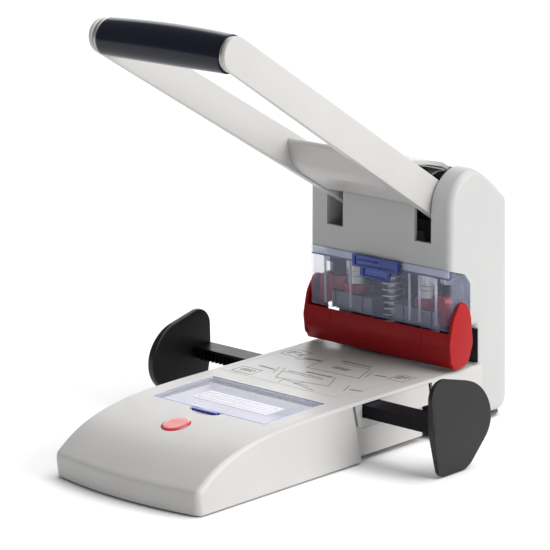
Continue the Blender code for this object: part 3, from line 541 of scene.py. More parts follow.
def base_body(half, offset, low_z, back_y, line):
    """Block under the top line; the nose bows forward and its corners are rounded in plan."""
    corner = 5.0
    edge = 3.2
    turns = 9
    outer = [half - corner * math.sin(math.pi / 2 * k / turns) for k in range(turns + 1)]
    rim = [half - edge + edge * math.sin(math.pi / 2 * k / 5) for k in range(6)]
    places = sorted(set(round(x, 3) for x in outer + rim + [k * 9.0 for k in range(9)]))
    stations = [-x for x in reversed(places)] + places[1:]
    lip = [Vector((NOSE_Y - 0.7, LIP_Z - 1.0)), Vector((NOSE_Y - 1.2, LIP_Z - 2.5)),
           Vector((NOSE_Y - 1.5, LIP_Z - 6.0)), Vector((NOSE_Y, low_z))]
    rings = []
    for x in stations:
        reach = min(corner, max(0.0, abs(x) - (half - corner)))
        pull = corner - math.sqrt(corner ** 2 - reach ** 2)
        bow = NOSE_BOW * (1 - (x / half) ** 2)
        over = min(edge, max(0.0, abs(x) - (half - edge)))
        drop = edge - math.sqrt(edge ** 2 - over ** 2)
        ring = [(x, back_y, low_z)]
        for point in line + lip:
            weight = smooth_step((-190.0 - point.x) / 95.0)
            y = min(point.x, back_y) + (pull - bow) * weight + offset * weight
            z = point.y if point.y <= low_z else max(low_z + 1, point.y - drop - offset)
            ring.append((x, y, z))
        rings.append(ring)
    return loft(rings)


def base_shell():
    """Lower body: table, sloping nose with its soft crease, lip and skirts."""
    body = base_body(BASE_HALF, 0.0, SKIRT_Z, 39.3, FINE_TOP)
    body = cut(body, base_body(BASE_HALF - WALL, WALL, SKIRT_Z - 3.0, 45.0, top_line(18)))
    behind = box(-HEAD_HALF - GAP, HEAD_HALF + GAP, 32.7, 60.0, -5.0, 70.0)
    compartment = box(-62.5, 62.5, -201.5, -132.0, 40.0, 60.0)
    notch = prism_z([Vector((18.0 * math.cos(a), -200.5 + 10.5 * math.sin(a)))
                     for a in (2 * math.pi * k / 56 for k in range(56))], 40.0, 60.0)
    button = rod_z((0.0, BUTTON.y), 12.0, 35.0, 60.0, 64)
    dies = box(-50.3, 50.3, 8.7, 40.0, 45.0, 60.0)
    body = cut(body, behind, compartment, notch, button, dies)
    for side in (-1, 1):
        inner, outer = sorted((side * (BASE_HALF - 6), side * (BASE_HALF + 3)))
        opening = [Vector(p) for p in ((-119.5, 49.4), (-108.0, -5.0), (-21.0, -5.0), (-21.0, 30.0),
                                       (-24.0, 49.4))]
        body = cut(body, prism_x(opening, inner, outer))
    return body


def rack_span(side):
    """Front and back of a guide bar: the right one is in front of the pinion, the left one behind."""
    node = "rack_bar_right" if side > 0 else "rack_bar_left"
    return low(node).y, high(node).y


def side_panel(side):
    """Band between the skirts with the guide bar's opening, over a set-back block with a ledge line."""
    band = prism_x([Vector((-115.8, 49.1)), Vector((-111.8, 31.0)), Vector((-25.0, 31.0)),
                    Vector((-27.5, 49.1))], BASE_HALF - 4.0, BASE_HALF - 0.6)
    block = box(BASE_HALF - 8.0, BASE_HALF - 4.6, -106.0, -31.0, 4.5, 49.1)
    block = join(block, box(BASE_HALF - 8.0, BASE_HALF - 4.6, -123.0, -105.0, 4.5, 46.0))
    tie = box(BASE_HALF - 6.0, BASE_HALF - 2.0, -104.0, -33.0, 33.0, 49.1)
    panel = join(band, block, tie)
    bar_y = rack_span(side)
    panel = cut(panel, box(60.0, 90.0, bar_y[0] - 0.7, bar_y[1] + 0.7, RACK_Z[0] - 0.6, 60.0))
    panel = cut(panel, box(BASE_HALF - 5.2, BASE_HALF, -104.5, -32.5, 27.4, 28.2))
    return panel if side > 0 else mirrored(panel)


def strips(segments, origin, along=(1.0, 0.0, 0.0), up=(0.0, 1.0, 0.0), thick=0.08):
    """Flat printed lines on a plane: each segment is (u0, v0, u1, v1, width) from the plane's origin."""
    along, up = Vector(along).normalized(), Vector(up).normalized()
    out = along.cross(up)
    bm = bmesh.new()
    for u0, v0, u1, v1, width in segments:
        start, end = Vector((u0, v0)), Vector((u1, v1))
        run = (end - start).normalized()
        side = Vector((-run.y, run.x)) * (width / 2)
        corners = (start - side, end - side, end + side, start + side)
        spots = [Vector(origin) + along * p.x + up * p.y for p in corners]
        under = [bm.verts.new(spot) for spot in spots]
        over = [bm.verts.new(spot + out * thick) for spot in spots]
        bm.faces.new(list(reversed(under)))
        bm.faces.new(over)
        for k in range(4):
            bm.faces.new((under[k], under[(k + 1) % 4], over[(k + 1) % 4], over[k]))
    return bm


def path_lines(points, width=0.5):
    """Segments that join points one after another, a little overlapped at the corners."""
    lines = []
    for (u0, v0), (u1, v1) in zip(points, points[1:]):
        run = (Vector((u1, v1)) - Vector((u0, v0))).normalized() * (width / 2)
        lines.append((u0 - run.x, v0 - run.y, u1 + run.x, v1 + run.y, width))
    return lines


def frame_lines(u0, v0, u1, v1, width=0.5):
    """Four sides of a printed rectangle."""
    return path_lines([(u0, v0), (u1, v0), (u1, v1), (u0, v1), (u0, v0)], width)


def caption(u, v, length, rows=1, lean=0.0, height=1.7):
    """A caption stood in for by plain short dashes of uneven length, with no letters."""
    marks = []
    for row in range(rows):
        reach = 0.0
        k = 0
        v_row = v - height * 1.9 * row
        while reach < length * (1.0 - 0.2 * row):
            dash = 1.1 + 1.3 * ((k * 7 + row * 3) % 4) / 3
            end = reach + dash
            marks.append((u + reach, v_row + lean * reach, u + end, v_row + lean * end, height))
            reach += dash + 0.8
            k += 1
    return marks


def table_print():
    """Format guide printed on the table: boxes, lead lines, brackets and dashed captions."""
    origin = (0.0, 0.0, TABLE_Z + 0.02)
    lines = frame_lines(-70.0, -45.0, -49.0, -27.5) + frame_lines(-65.0, -109.0, -43.0, -94.0)
    lines += frame_lines(52.0, -45.5, 68.0, -29.0, 0.4)
    lines += path_lines([(-27.0, -34.0), (-22.0, -63.0), (33.0, -60.0), (22.0, -33.5), (-8.0, -34.5)])
    lines += path_lines([(-35.0, -75.0), (-21.0, -101.5), (30.0, -93.0), (17.0, -70.0)])
    lines += path_lines([(-29.0, -84.0), (14.5, -82.5)])
    lines += path_lines([(28.5, -38.0), (35.0, -54.0)]) + path_lines([(42.0, -81.0), (49.5, -96.0)])
    lines += path_lines([(-9.0, -110.5), (-12.0, -102.0), (17.0, -104.0)], 0.45)
    lines += path_lines([(28.5, -109.5), (3.0, -105.0), (7.0, -98.0)], 0.6)
    lines += path_lines([(-48.0, -50.0), (-30.0, -40.0)]) + path_lines([(-39.5, -78.0), (-33.0, -92.0)])
    faint = path_lines([(-73.0, -20.0), (-73.0, -113.0), (56.0, -113.0), (64.0, -44.0), (72.0, -18.0)], 0.4)
    marks = caption(-67.0, -33.0, 8.0, 3) + caption(-56.0, -36.0, 4.5, 2)
    marks += caption(-44.0, -43.0, 18.0, 1, 0.1, 2.2)
    marks += caption(-13.0, -29.5, 31.0, 1, 0.04, 2.0) + caption(-6.0, -46.0, 17.0, 2)
    marks += caption(37.0, -44.0, 11.0, 1, 0.15, 2.0) + caption(54.0, -33.0, 11.0, 3, 0.05)
    marks += caption(-13.0, -73.0, 28.0, 1, 0.05, 2.4) + caption(-27.0, -80.0, 38.0, 1, 0.03, 1.2)
    marks += caption(50.0, -89.0, 12.0, 1, 0.25, 2.0) + caption(-56.0, -84.0, 17.0, 1, -0.05, 2.0)
    marks += caption(-61.0, -99.0, 13.0, 2)
    return strips(lines, origin), strips(marks, origin), strips(faint, origin)


# ---------------------------------------------------------------- compartment and button

def lid_strip(x0, x1, y0, y1, below, thick, count=24):
    """Thin plate that follows the base's top at a depth below it."""
    places = [y0 + (y1 - y0) * k / count for k in range(count + 1)]
    outline = [Vector((y, top_z(y) - below)) for y in places]
    outline += [Vector((y, top_z(y) - below - thick)) for y in reversed(places)]
    return prism_x(outline, x0, x1)


def compartment_lid():
    """Clear lid with hinge ears, stubs and a thickened rim below."""
    lid = lid_strip(-61.9, 61.9, -200.8, -134.6, 0.1, 1.6)
    for side in (-1, 1):
        inner, outer = sorted((side * 59.4, side * 61.7))
        stub_in, stub_out = sorted((side * 60.0, side * 63.8))
        lid = join(lid, box(inner, outer, -138.3, -134.8, 46.4, 50.5))
        lid = join(lid, rod_x((-136.4, 47.8), 1.1, stub_in, stub_out, 20))
        lid = join(lid, lid_strip(inner, outer, -199.5, -139.5, 1.5, 1.6))
    lid = join(lid, lid_strip(-59.4, 59.4, -141.0, -139.2, 1.5, 1.5, 2))
    return lid


def lid_rim():
    """Blue light caught in the lid's edges, as a thin border on its rim."""
    rim = lid_strip(-62.1, 62.1, -201.0, -134.4, 0.0, 0.5)
    return cut(rim, lid_strip(-61.0, 61.0, -199.9, -135.6, -2.0, 5.0))


def lid_tab():
    """Blue lift tab that reaches from the lid's front edge over the finger notch."""
    tab = soft_prism_x(rounded([(-205.9, 50.6, 0.8), (-201.1, 50.6, 0.8), (-201.1, 48.2, 0.8),
                                (-205.9, 48.2, 0.8)], 4), -13.8, 13.8, 0.6, 4)
    return tab


def release_button():
    """Round button whose dished top follows the nose's slope."""
    lean = 0.2
    profile = ((11.0, 37.2, 0.0), (13.2, 37.4, 0.0), (13.2, 38.8, 0.0), (11.6, 39.0, 0.0), (11.6, 45.6, 1.0),
               (11.4, 46.4, 1.0), (10.8, 46.9, 1.0), (9.6, 47.2, 1.0), (8.0, 47.3, 1.0), (5.0, 47.25, 1.0),
               (2.0, 47.2, 1.0))
    rings = []
    for radius, z, share in profile:
        edge = circle((0.0, BUTTON.y), radius, 64)
        rings.append([(p.x, p.y, z + lean * share * (p.y - BUTTON.y)) for p in edge])
    return loft(rings)


# ---------------------------------------------------------------- paper guides

def rack_bar():
    """Right guide bar: teeth towards the pinion under a plain flange."""
    start, end = low("rack_bar_right").x, high("rack_bar_right").x
    front, back = rack_span(1)
    pitch = 2 * math.pi * 10.0 / 14
    root = back - 2.9
    flange_z = RACK_Z[1] - 2.5
    body = box(start, end, front, root, RACK_Z[0], flange_z + 0.5)
    body = join(body, box(start, end, front, back, flange_z, RACK_Z[1]))
    first = math.floor((end - 4.0) / pitch - 0.5)
    for k in range(int((end - start) / pitch)):
        centre = (first - k + 0.5) * pitch
        if centre - pitch / 2 < start:
            break
        tooth = [Vector((centre - 1.42, root - 0.5)), Vector((centre - 1.42, root)),
                 Vector((centre - 0.48, back)), Vector((centre + 0.48, back)),
                 Vector((centre + 1.42, root)), Vector((centre + 1.42, root - 0.5))]
        body = join(body, prism_z(tooth, RACK_Z[0], flange_z + 0.5))
    return body


def stop_paddle():
    """Right paper stop: a broad rounded blade whose outer face has a faint level ridge."""
    edge = low("stop_paddle_right").y
    corners = [(0.0, 84.2, 15), (69.5, 66.3, 34), (69.5, 29.9, 26), (43.2, 0.8, 18), (9.0, 0.8, 7),
               (0.0, 38.0, 25)]
    outline = rounded([(edge + a, b, radius) for a, b, radius in corners], 16)
    blade = soft_prism_x(outline, PADDLE_X[0], PADDLE_X[1], 1.4, 6)
    face = PADDLE_X[1]
    ridge_z = 40.0
    upper, lower = [], []
    for k in range(13):
        share = (k - 6) / 6
        y = edge - 3.0 + 76.0 * k / 12
        z = ridge_z - 2.0 * (1 - share ** 2)
        ridge, clear_of_it = (face - 0.05, y, z), (face + 3.0, y, z)
        upper.append([ridge, (face - 4.0, y, 90.0), (face + 3.0, y, 90.0), clear_of_it])
        lower.append([ridge, clear_of_it, (face + 3.0, y, -10.0), (face - 3.2, y, -10.0)])
    return cut(blade, loft(upper), loft(lower))


# ---------------------------------------------------------------- column and head

def column_outline(steps=12):
    """Side view of the head and column as one body, before the window's zone is taken out."""
    arch = [outward(math.radians(a), 33.2, (36.0, 184.0)) for a in range(180, 89, -4)]
    arch += [Vector((44.0, 212.6)), Vector((52.7, 206.5)), Vector((65.5, 195.9))]
    lower = [(BACK_Y, 186.0, 7), (BACK_Y, COLUMN_Z, 12), (THROAT_Y, COLUMN_Z, 0), (THROAT_Y, THROAT_Z, 0),
             (0.0, THROAT_Z, 0)]
    return rounded([(p.x, p.y, 0) for p in arch] + lower, steps)


def window_zone():
    """Side view of the space that the clear window fills."""
    return rounded([(-6.0, 60.0, 0), (-6.0, SEAM_Z + 2.2, 0), (0.0, SEAM_Z, 0), (20.8, 130.8, 6.0),
                    (27.3, 122.0, 3), (27.3, 60.0, 0)], 8)


def column_cover():
    """Cover of the head and column, open below and where the window and handle go."""
    outline = column_outline()
    body = soft_prism_x(outline, -HEAD_HALF, HEAD_HALF, 6.2, 8)
    body = cut(body, prism_x(inset(column_outline(4), SHELL), -HEAD_HALF + SHELL, HEAD_HALF - SHELL))
    body = cut(body, box(-HEAD_HALF + SHELL, HEAD_HALF - SHELL, THROAT_Y + SHELL, 72.0, -5.0, 20.0))
    body = cut(body, box(-62.0, 62.0, 20.0, THROAT_Y, THROAT_Z - 3.0, THROAT_Z + 6.0))
    body = cut(body, prism_x(window_zone(), -90.0, 90.0))
    body = cut(body, box(-SLOT_OUT, SLOT_OUT, 6.5, 72.0, BLOCK_TOP_Z, 230.0))
    body = cut(body, box(-SLOT_OUT, SLOT_OUT, -5.0, 10.0, BLOCK_TOP_Z, 230.0))
    for side in (-1, 1):
        inner, outer = sorted((side * SLOT_IN, side * SLOT_OUT))
        body = cut(body, box(inner, outer, -5.0, 10.0, SLOT_Z, 230.0))
    body = cut(body, box(-62.5, 62.5, 20.0, 40.0, -2.0, 49.2))
    body = cut(body, box(-59.0, 59.0, 60.0, 90.0, -2.0, 31.0))
    body = cut(body, box(-90.0, 90.0, 20.0, THROAT_BACK_Y, 52.2, 81.6))
    return body


def throat_shade_wall():
    """Wall at the back of the paper throat, seen behind the flap's ears, near black as painted shade for the
    throat's dark inside.
    """
    wall = box(-HEAD_HALF + 0.6, HEAD_HALF - 0.6, THROAT_BACK_Y - 0.4, THROAT_BACK_Y + 0.8, 50.5, 83.0)
    roof = box(-HEAD_HALF + 0.6, HEAD_HALF - 0.6, THROAT_Y + 0.4, THROAT_BACK_Y, 81.7, 82.6)
    return join(wall, roof)


def cheek_liner():
    """Inner wall of the right cheek, beside the handle's slot."""
    outline = inset(column_outline(4), SHELL + 0.4)
    wall = prism_x(outline, SLOT_OUT + GAP, SLOT_OUT + 2.5)
    wall = combine(wall, box(50.0, 70.0, -5.0, 90.0, 140.0, 240.0), "INTERSECT")
    return cut(wall, rod_x(PIVOT, 6.5, 50.0, 70.0))


# ---------------------------------------------------------------- handle

ARM_ALONG = Vector((-math.cos(ARM_TILT), math.sin(ARM_TILT)))
ARM_UP = Vector((math.sin(ARM_TILT), math.cos(ARM_TILT)))


def on_arm(s, t):
    """Side-view point at a distance s along the arm and t square to it."""
    return Vector(PIVOT) + ARM_ALONG * s + ARM_UP * t


def arm_x(faces, point):
    """Where a face that spreads from the pivot to the grip lies beside a side-view point."""
    s = (Vector(point) - Vector(PIVOT)).dot(ARM_ALONG)
    return faces[0] + (faces[1] - faces[0]) * s / GRIP_S


def handle_arm():
    """Right arm: a flat bar that spreads outwards, with softly rounded edges and a round end at the grip."""
    edge = 1.0
    bottom, top = ARM_MID_T - ARM_HALF_T, ARM_MID_T + ARM_HALF_T
    far = GRIP_S + ARM_HALF_T
    corners = [(-15.0, bottom, 13), (far, bottom, 14.2), (far, top, 14.2), (-15.0, top, 13)]
    outline = [on_arm(p.x, p.y) for p in rounded(corners, 18)]
    turns = 5
    rings = []
    levels = [(edge * (1 - math.cos(math.pi / 2 * k / turns)), edge * (1 - math.sin(math.pi / 2 * k / turns)))
              for k in range(turns + 1)]
    for depth, amount in levels:
        rings.append([(arm_x(ARM_IN, p) + depth, p.x, p.y) for p in inset(outline, amount)])
    for depth, amount in reversed(levels):
        rings.append([(arm_x(ARM_OUT, p) - depth, p.x, p.y) for p in inset(outline, amount)])
    return cut(loft(rings), rod_x(PIVOT, 6.3, 30.0, 70.0))


def handle_hood():
    """Shell between the arms over the column's top; its front drops in front of the head."""
    outline = rounded([(-50.5, 240.5, 3), (-14.0, 228.0, 30), (12.0, 223.5, 30), (30.0, 219.3, 12),
                       (39.0, 214.0, 0.6), (38.2, 211.4, 0.6), (28.5, 215.8, 9), (11.0, 220.3, 27),
                       (-14.0, 224.8, 27), (-45.6, 235.5, 2), (-41.6, 219.5, 8), (-33.5, 211.5, 6),
                       (-7.2, 193.5, 0.8), (-8.6, 190.3, 0.8), (-36.0, 207.8, 12), (-45.5, 217.0, 10)], 10)
    rings = []
    for share in (-1.0, -0.5, 0.0, 0.5, 1.0):
        rings.append([(share * (arm_x(ARM_IN, p) - GAP), p.x, p.y) for p in outline])
    return loft(rings)


def grip():
    """Oval hand tube, a little fuller in its middle, its ends slightly drawn in."""
    stations = [-GRIP_HALF + 2 * GRIP_HALF * k / 48 for k in range(49)]
    stations += [side * (GRIP_HALF - depth) for side in (-1, 1) for depth in (0.25, 0.7)]
    rings = []
    for x in sorted(stations):
        swell = 1.0 + 0.07 * (1 - (x / GRIP_HALF) ** 2)
        crown = 1.0 * (1 - (x / GRIP_HALF) ** 2)
        end = 0.5 * max(0.0, 1 - (GRIP_HALF - abs(x)) / 0.7) ** 2
        ring = []
        for step in range(72):
            angle = 2 * math.pi * step / 72
            point = on_arm(GRIP_S + (12.6 * swell - end) * math.cos(angle),
                           ARM_MID_T + crown + (15.4 * swell - end) * math.sin(angle))
            ring.append((x, point.x, point.y))
        rings.append(ring)
    return loft(rings)


def grip_ring():
    """Collar between the hand tube and the right arm, with a rounded rim."""
    profile = ((0.0, 0.985), (0.05, 1.02), (0.14, 1.04), (0.5, 1.045), (0.8, 1.04), (0.92, 1.015),
               (1.0, 0.98))
    rings = []
    for share, size in profile:
        ring = []
        for step in range(72):
            angle = 2 * math.pi * step / 72
            point = on_arm(GRIP_S + 12.6 * size * math.cos(angle), ARM_MID_T + 13.4 * size * math.sin(angle))
            inner = GRIP_HALF + GAP
            outer = arm_x(ARM_IN, point) - GAP
            ring.append((inner + (outer - inner) * share, point.x, point.y))
        rings.append(ring)
    return loft(rings)


# ---------------------------------------------------------------- punching gear

def coil(centre, radius, wire, z0, z1, turns, sides=12, per_turn=40):
    """Helical compression spring whose end turns lie closed."""
    count = int(turns * per_turn)
    closed = per_turn
    rings = []
    angle_step = 2 * math.pi / per_turn
    travel = [0.0]
    for k in range(count):
        near_end = min(k, count - k) / closed
        travel.append(travel[-1] + (0.35 if near_end < 0.8 else 1.0))
    for k in range(count + 1):
        angle = angle_step * k
        out = Vector((math.cos(angle), math.sin(angle), 0.0))
        around = Vector((-math.sin(angle), math.cos(angle), 0.0))
        up = out.cross(around)
        z = z0 + wire + (z1 - z0 - 2 * wire) * travel[k] / travel[-1]
        spot = Vector((centre[0], centre[1], z)) + out * radius
        ring = []
        for step in range(sides):
            turn = 2 * math.pi * step / sides
            ring.append(spot + out * (wire * math.cos(turn)) + up * (wire * math.sin(turn)))
        rings.append(ring)
    return loft(rings)


def punch_holder():
    """Turned body of the right punch: a chamfered cylinder with two grooves."""
    top = high("punch_holder_right").z
    bottom = low("punch_holder_right").z
    profile = [(8.8, bottom), (10.0, bottom + 1.2)]
    for z in (bottom + 9.0, bottom + 13.0, top - 6.0):
        profile += [(10.0, z), (9.4, z + 0.5), (9.4, z + 1.3), (10.0, z + 1.8)]
    profile += [(10.0, top - 0.8), (9.3, top)]
    return turned_z((PUNCH_X, PUNCH_Y), profile, 56)


def punch():
    """Hollow cutting tube of the right punch with its ground, scalloped tip."""
    tube = rod_z((PUNCH_X, PUNCH_Y), 3.0, low("punch_right").z, high("punch_right").z, 32)
    tube = cut(tube, rod_z((PUNCH_X, PUNCH_Y), 2.2, 60.0, 110.0, 32))
    return cut(tube, rod_x((PUNCH_Y, 65.0), 3.4, 30.0, 50.0, 32))


def punch_lock():
    """Right red collar round the punch, with the finger wing that turns it."""
    lean = math.radians(-22.0)
    at = Vector((PUNCH_X, PUNCH_Y))
    along = Vector((math.cos(lean), math.sin(lean)))
    across = Vector((-along.y, along.x))

    def strip(r0, r1, half):
        corners = ((r0, -half), (r1, -half), (r1, half), (r0, half))
        return [at + along * r + across * w for r, w in corners]

    lock = rod_z(at, 12.9, 98.4, 106.0, 56)
    lock = join(lock, prism_z(strip(8.0, 33.0, 2.5), 99.0, 110.0))
    lobe = rounded([(21.5, 87.0, 5), (34.0, 87.0, 5), (34.0, 113.0, 6), (21.5, 113.0, 6)], 8)
    rings = []
    for width in (-3.2, 3.2):
        ring = []
        for point in lobe:
            spot = at + along * point.x + across * width
            ring.append((spot.x, spot.y, point.y))
        rings.append(ring)
    lock = join(lock, loft(rings))
    return cut(lock, rod_z(at, 10.4, 90.0, 120.0, 56))


def punch_guide():
    """Bridge across the head that guides the punches and seats the return spring."""
    body = box(-58.0, 58.0, 7.0, 30.4, 84.3, 98.0)
    body = join(body, box(-15.5, 15.5, 8.5, 30.4, 75.0, 92.0))
    body = cut(body, box(-12.5, 12.5, 0.0, 35.0, 77.0, 105.0))
    body = join(body, rod_z((0.0, PUNCH_Y), 5.6, 76.0, 80.0))
    for side in (-1, 1):
        at = (side * PUNCH_X, PUNCH_Y)
        body = join(body, turned_z(at, ((7.4, 69.5), (8.0, 70.1), (8.0, 90.0)), 48))
        body = cut(body, rod_z(at, 3.35, 60.0, 110.0, 40), rod_z(at, 10.4, 86.6, 110.0, 56))
        for x in (22.0, 53.0):
            inner, outer = sorted((side * x, side * (x + 2.0)))
            body = cut(body, box(inner, outer, 0.0, 9.0, 80.0, 99.0))
    return body


# ---------------------------------------------------------------- window, latch and flap

def window():
    """Clear cover round the front and sides of the head, with the flap's pivot stubs."""
    thick = 2.2
    plan = rounded([(-HEAD_HALF, 27.0, 0), (-HEAD_HALF, 0.0, 6.0), (HEAD_HALF, 0.0, 6.0),
                    (HEAD_HALF, 27.0, 0)], 10)
    inner = rounded([(-HEAD_HALF + thick, 40.0, 0), (-HEAD_HALF + thick, thick, 3.9),
                     (HEAD_HALF - thick, thick, 3.9), (HEAD_HALF - thick, 40.0, 0)], 10)
    body = cut(prism_z(plan, 86.0, 140.0), prism_z(inner, 80.0, 150.0))
    side = rounded([(-1.0, 80.0, 0), (-1.0, SEAM_Z - 0.1, 0), (0.5, SEAM_Z - 0.4, 0), (20.6, 130.3, 5.7),
                    (27.0, 121.8, 3), (27.0, 80.0, 0)], 10)
    body = combine(body, prism_x(side, -90.0, 90.0), "INTERSECT")
    for sign in (-1, 1):
        inner_x, outer_x = sorted((sign * 77.5, sign * 80.7))
        body = join(body, rod_x(FLAP_PIVOT, 3.0, inner_x, outer_x, 32))
    return body


def thin_edge(face):
    """True for the window's narrow top, bottom and rear faces, where light gathers blue."""
    normal = face.normal
    return abs(normal.z) > 0.6 or normal.y > 0.8 and face.calc_center_median().y > (HEAD_Y + 20.0) * MM


def window_ledge():
    """Deep blue shelf line along the inside of the window's front and round its corners."""
    front = box(-76.4, 76.4, 2.4, 6.0, 128.6, 129.7)
    for sign in (-1, 1):
        inner_x, outer_x = sorted((sign * 73.0, sign * 76.2))
        front = join(front, box(inner_x, outer_x, 3.0, 15.0, 128.6, 129.7))
    return front


def window_band():
    """Second wall behind the window's upper edge, above its shelf line, in two lengths beside the catch."""
    bands = box(-76.0, -26.5, 2.5, 4.0, 130.0, 136.2)
    return join(bands, box(26.5, 76.0, 2.5, 4.0, 130.0, 136.2))


def window_highlight_ribs():
    """Slim upright pale ribs behind the window's front, standing as painted highlight streaks for the lights'
    reflections in the window.
    """
    ribs = None
    for x in (-62.0, -33.0, 33.0, 44.0, 62.0):
        rib = box(x - 0.6, x + 0.6, 2.3, 4.6, 88.0, 128.4)
        ribs = rib if ribs is None else join(ribs, rib)
    return ribs


def latch_plate():
    """Paler see-through plates of the catch."""
    plate = rounded([(-25.0, 137.0, 1.0), (-25.0, 127.4, 1.0), (25.0, 127.4, 1.0), (25.0, 137.0, 1.0)], 6)
    lip = rounded([(-17.0, 128.0, 0), (-14.0, 119.6, 2), (14.0, 119.6, 2), (17.0, 128.0, 0)], 6)
    return join(prism_y(plate, -1.4, -0.4), prism_y(lip, -1.4, -0.4))


def latch_rims():
    """Deep blue raised rims, posts and ribs of the catch."""
    rims = box(-25.5, 25.5, -2.7, -1.5, 135.6, 137.0)
    for x0, x1, z0, z1 in ((-25.5, 25.5, 126.6, 128.6), (-25.5, -22.5, 126.6, 137.0),
                           (22.5, 25.5, 126.6, 137.0), (-20.0, 5.0, 131.6, 133.0), (5.0, 22.6, 130.0, 136.0),
                           (-14.5, 14.5, 118.6, 120.4), (-16.5, -13.0, 119.5, 127.0),
                           (13.0, 16.5, 119.5, 127.0)):
        rims = join(rims, box(x0, x1, -2.7, -1.5, z0, z1))
    return rims


def guard_flap():
    """Red bar across the throat with leaf-shaped ears that turn on the window's stubs."""
    top, bottom = Vector((-1.0, 84.6)), Vector((2.3, 54.5))
    chord = top - bottom
    bulge = 3.5
    radius = chord.length ** 2 / (8 * bulge) + bulge / 2
    inwards = Vector((chord.y, -chord.x)).normalized()
    centre = (top + bottom) / 2 + inwards * (radius - bulge)
    start = math.atan2(top.y - centre.y, top.x - centre.x) % (2 * math.pi)
    end = math.atan2(bottom.y - centre.y, bottom.x - centre.x) % (2 * math.pi)
    angles = [start + (end - start) * k / 24 for k in range(25)]
    outline = [outward(a, radius, centre) for a in angles]
    outline += [outward(a, radius - 2.0, centre) for a in reversed(angles)]
    bar = prism_x(outline, -82.0, 82.0)
    for x in (-51.0, 51.0):
        bar = cut(bar, box(x - 0.2, x + 0.2, -10.0, -1.6, 50.0, 90.0))
    ear = rounded([(14.0, 114.0, 6.5), (24.0, 98.0, 22), (26.2, 72.0, 16), (20.0, 55.5, 9), (6.5, 52.6, 8),
                   (-2.0, 60.0, 5), (-3.6, 76.0, 12), (1.0, 96.0, 30)], 12)
    for sign in (-1, 1):
        inner_x, outer_x = sorted((sign * 79.2, sign * 82.6))
        hole = sorted((sign * 70.0, sign * 81.0))
        bar = join(bar, soft_prism_x(ear, inner_x, outer_x, 1.0, 5))
        bar = cut(bar, rod_x(FLAP_PIVOT, 3.3, hole[0], hole[1], 32))
    return bar


# ---------------------------------------------------------------- printed card

def card_print():
    """Blank ruled label on the card under the lid: a border and two writing lines."""
    origin = (0.0, 0.0, high("label_card").z + 0.02)
    edge = frame_lines(-37.5, -174.5, 37.5, -160.5, 0.5)
    rules = []
    for v in (-165.6, -169.4):
        rules += path_lines([(-33.0, v), (33.0, v)], 0.4)
    return strips(edge, origin), strips(rules, origin)


def build_base():
    """Fixed body."""
    piece("fine_base_shell", base_shell(), SHELL_GREY, "base", ["base_shell"], 0.5, 2)
    lines, marks, faint = table_print()
    piece("table_lines", lines, INK_DARK, "base")
    piece("table_marks", marks, INK_GREY, "base")
    piece("table_border", faint, INK_FAINT, "base")
    piece("fine_side_panel_right", side_panel(1), SHELL_GREY, "base", ["side_panel_right"], 0.4, 2)
    piece("fine_side_panel_left", side_panel(-1), SHELL_GREY, "base", ["side_panel_left"], 0.4, 2)
    piece("fine_column_cover", column_cover(), SHADED_HEAD_GREY, "base", ["column_cover"], 0.6, 3)
    piece("throat_shade_wall", throat_shade_wall(), SHADE_DARK_GREY, "base")
    piece("fine_cheek_liner_right", cheek_liner(), SHADED_HEAD_GREY, "base", ["cheek_liner_right"])
    piece("fine_cheek_liner_left", mirrored(cheek_liner()), SHADED_HEAD_GREY, "base", ["cheek_liner_left"])
    turns = coil((0.0, PUNCH_Y), 9.6, 1.1, RETURN_SPRING_FOOT, 139.6, 12)
    spring = piece("fine_return_spring", turns, BRIGHT, "base", ["return_spring"])
    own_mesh(spring)
    small_turns = coil((0.0, middle("button_spring").y), 6.0, 0.6, BUTTON_SPRING_FOOT, 36.9, 4)
    small_spring = piece("fine_button_spring", small_turns, BRIGHT, "base", ["button_spring"])
    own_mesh(small_spring)
    piece("fine_punch_guide", punch_guide(), GEAR_GREY, "base", ["punch_guide"], 0.5, 2)


def build_handle():
    """Bail handle."""
    piece("fine_arm_right", handle_arm(), SHELL_GREY, "handle", ["handle_arm_right"])
    piece("fine_arm_left", mirrored(handle_arm()), SHELL_GREY, "handle", ["handle_arm_left"])
    piece("fine_hood", handle_hood(), SHELL_GREY, "handle", ["handle_hood"])
    piece("fine_grip", grip(), NAVY, "handle", ["grip"])
    piece("fine_ring_right", grip_ring(), SILVER, "handle", ["grip_ring_right"])
    piece("fine_ring_left", mirrored(grip_ring()), SILVER, "handle", ["grip_ring_left"])


def build_gear():
    """Punches and their locks, the left ones mirrored."""
    for side in ("right", "left"):
        turn = mirrored if side == "left" else same
        holder, tube, lock = f"punch_holder_{side}", f"punch_{side}", f"punch_lock_{side}"
        piece(f"fine_holder_{side}", turn(punch_holder()), STEEL, "punch_carriage", [holder])
        piece(f"fine_punch_{side}", turn(punch()), STEEL, "punch_carriage", [tube])
        piece(f"fine_lock_{side}", turn(punch_lock()), LOCK_RED, f"{side}_lock", [lock], 0.6, 3)


def build_window():
    """Window, catch and flap."""
    piece("fine_window", window(), CLEAR, "window", ["window"], 0.4, 2, accent=(CLEAR_EDGE, thin_edge))
    piece("window_ledge", window_ledge(), BLUE, "window", edge=0.2)
    piece("window_band", window_band(), PALE_CLEAR_AND_HIGHLIGHT, "window", edge=0.3)
    # Pale ribs: painted highlight streaks for the lights' reflections in the window.
    piece("window_highlight_ribs", window_highlight_ribs(), PALE_CLEAR_AND_HIGHLIGHT, "window", edge=0.2)
    piece("latch_plate", latch_plate(), CLEAR_BLUE, "latch", edge=0.2)
    piece("fine_latch", latch_rims(), BLUE, "latch", ["window_latch"], 0.4, 2)
    piece("fine_flap", guard_flap(), RED, "flap", ["guard_flap"], 0.5, 2)


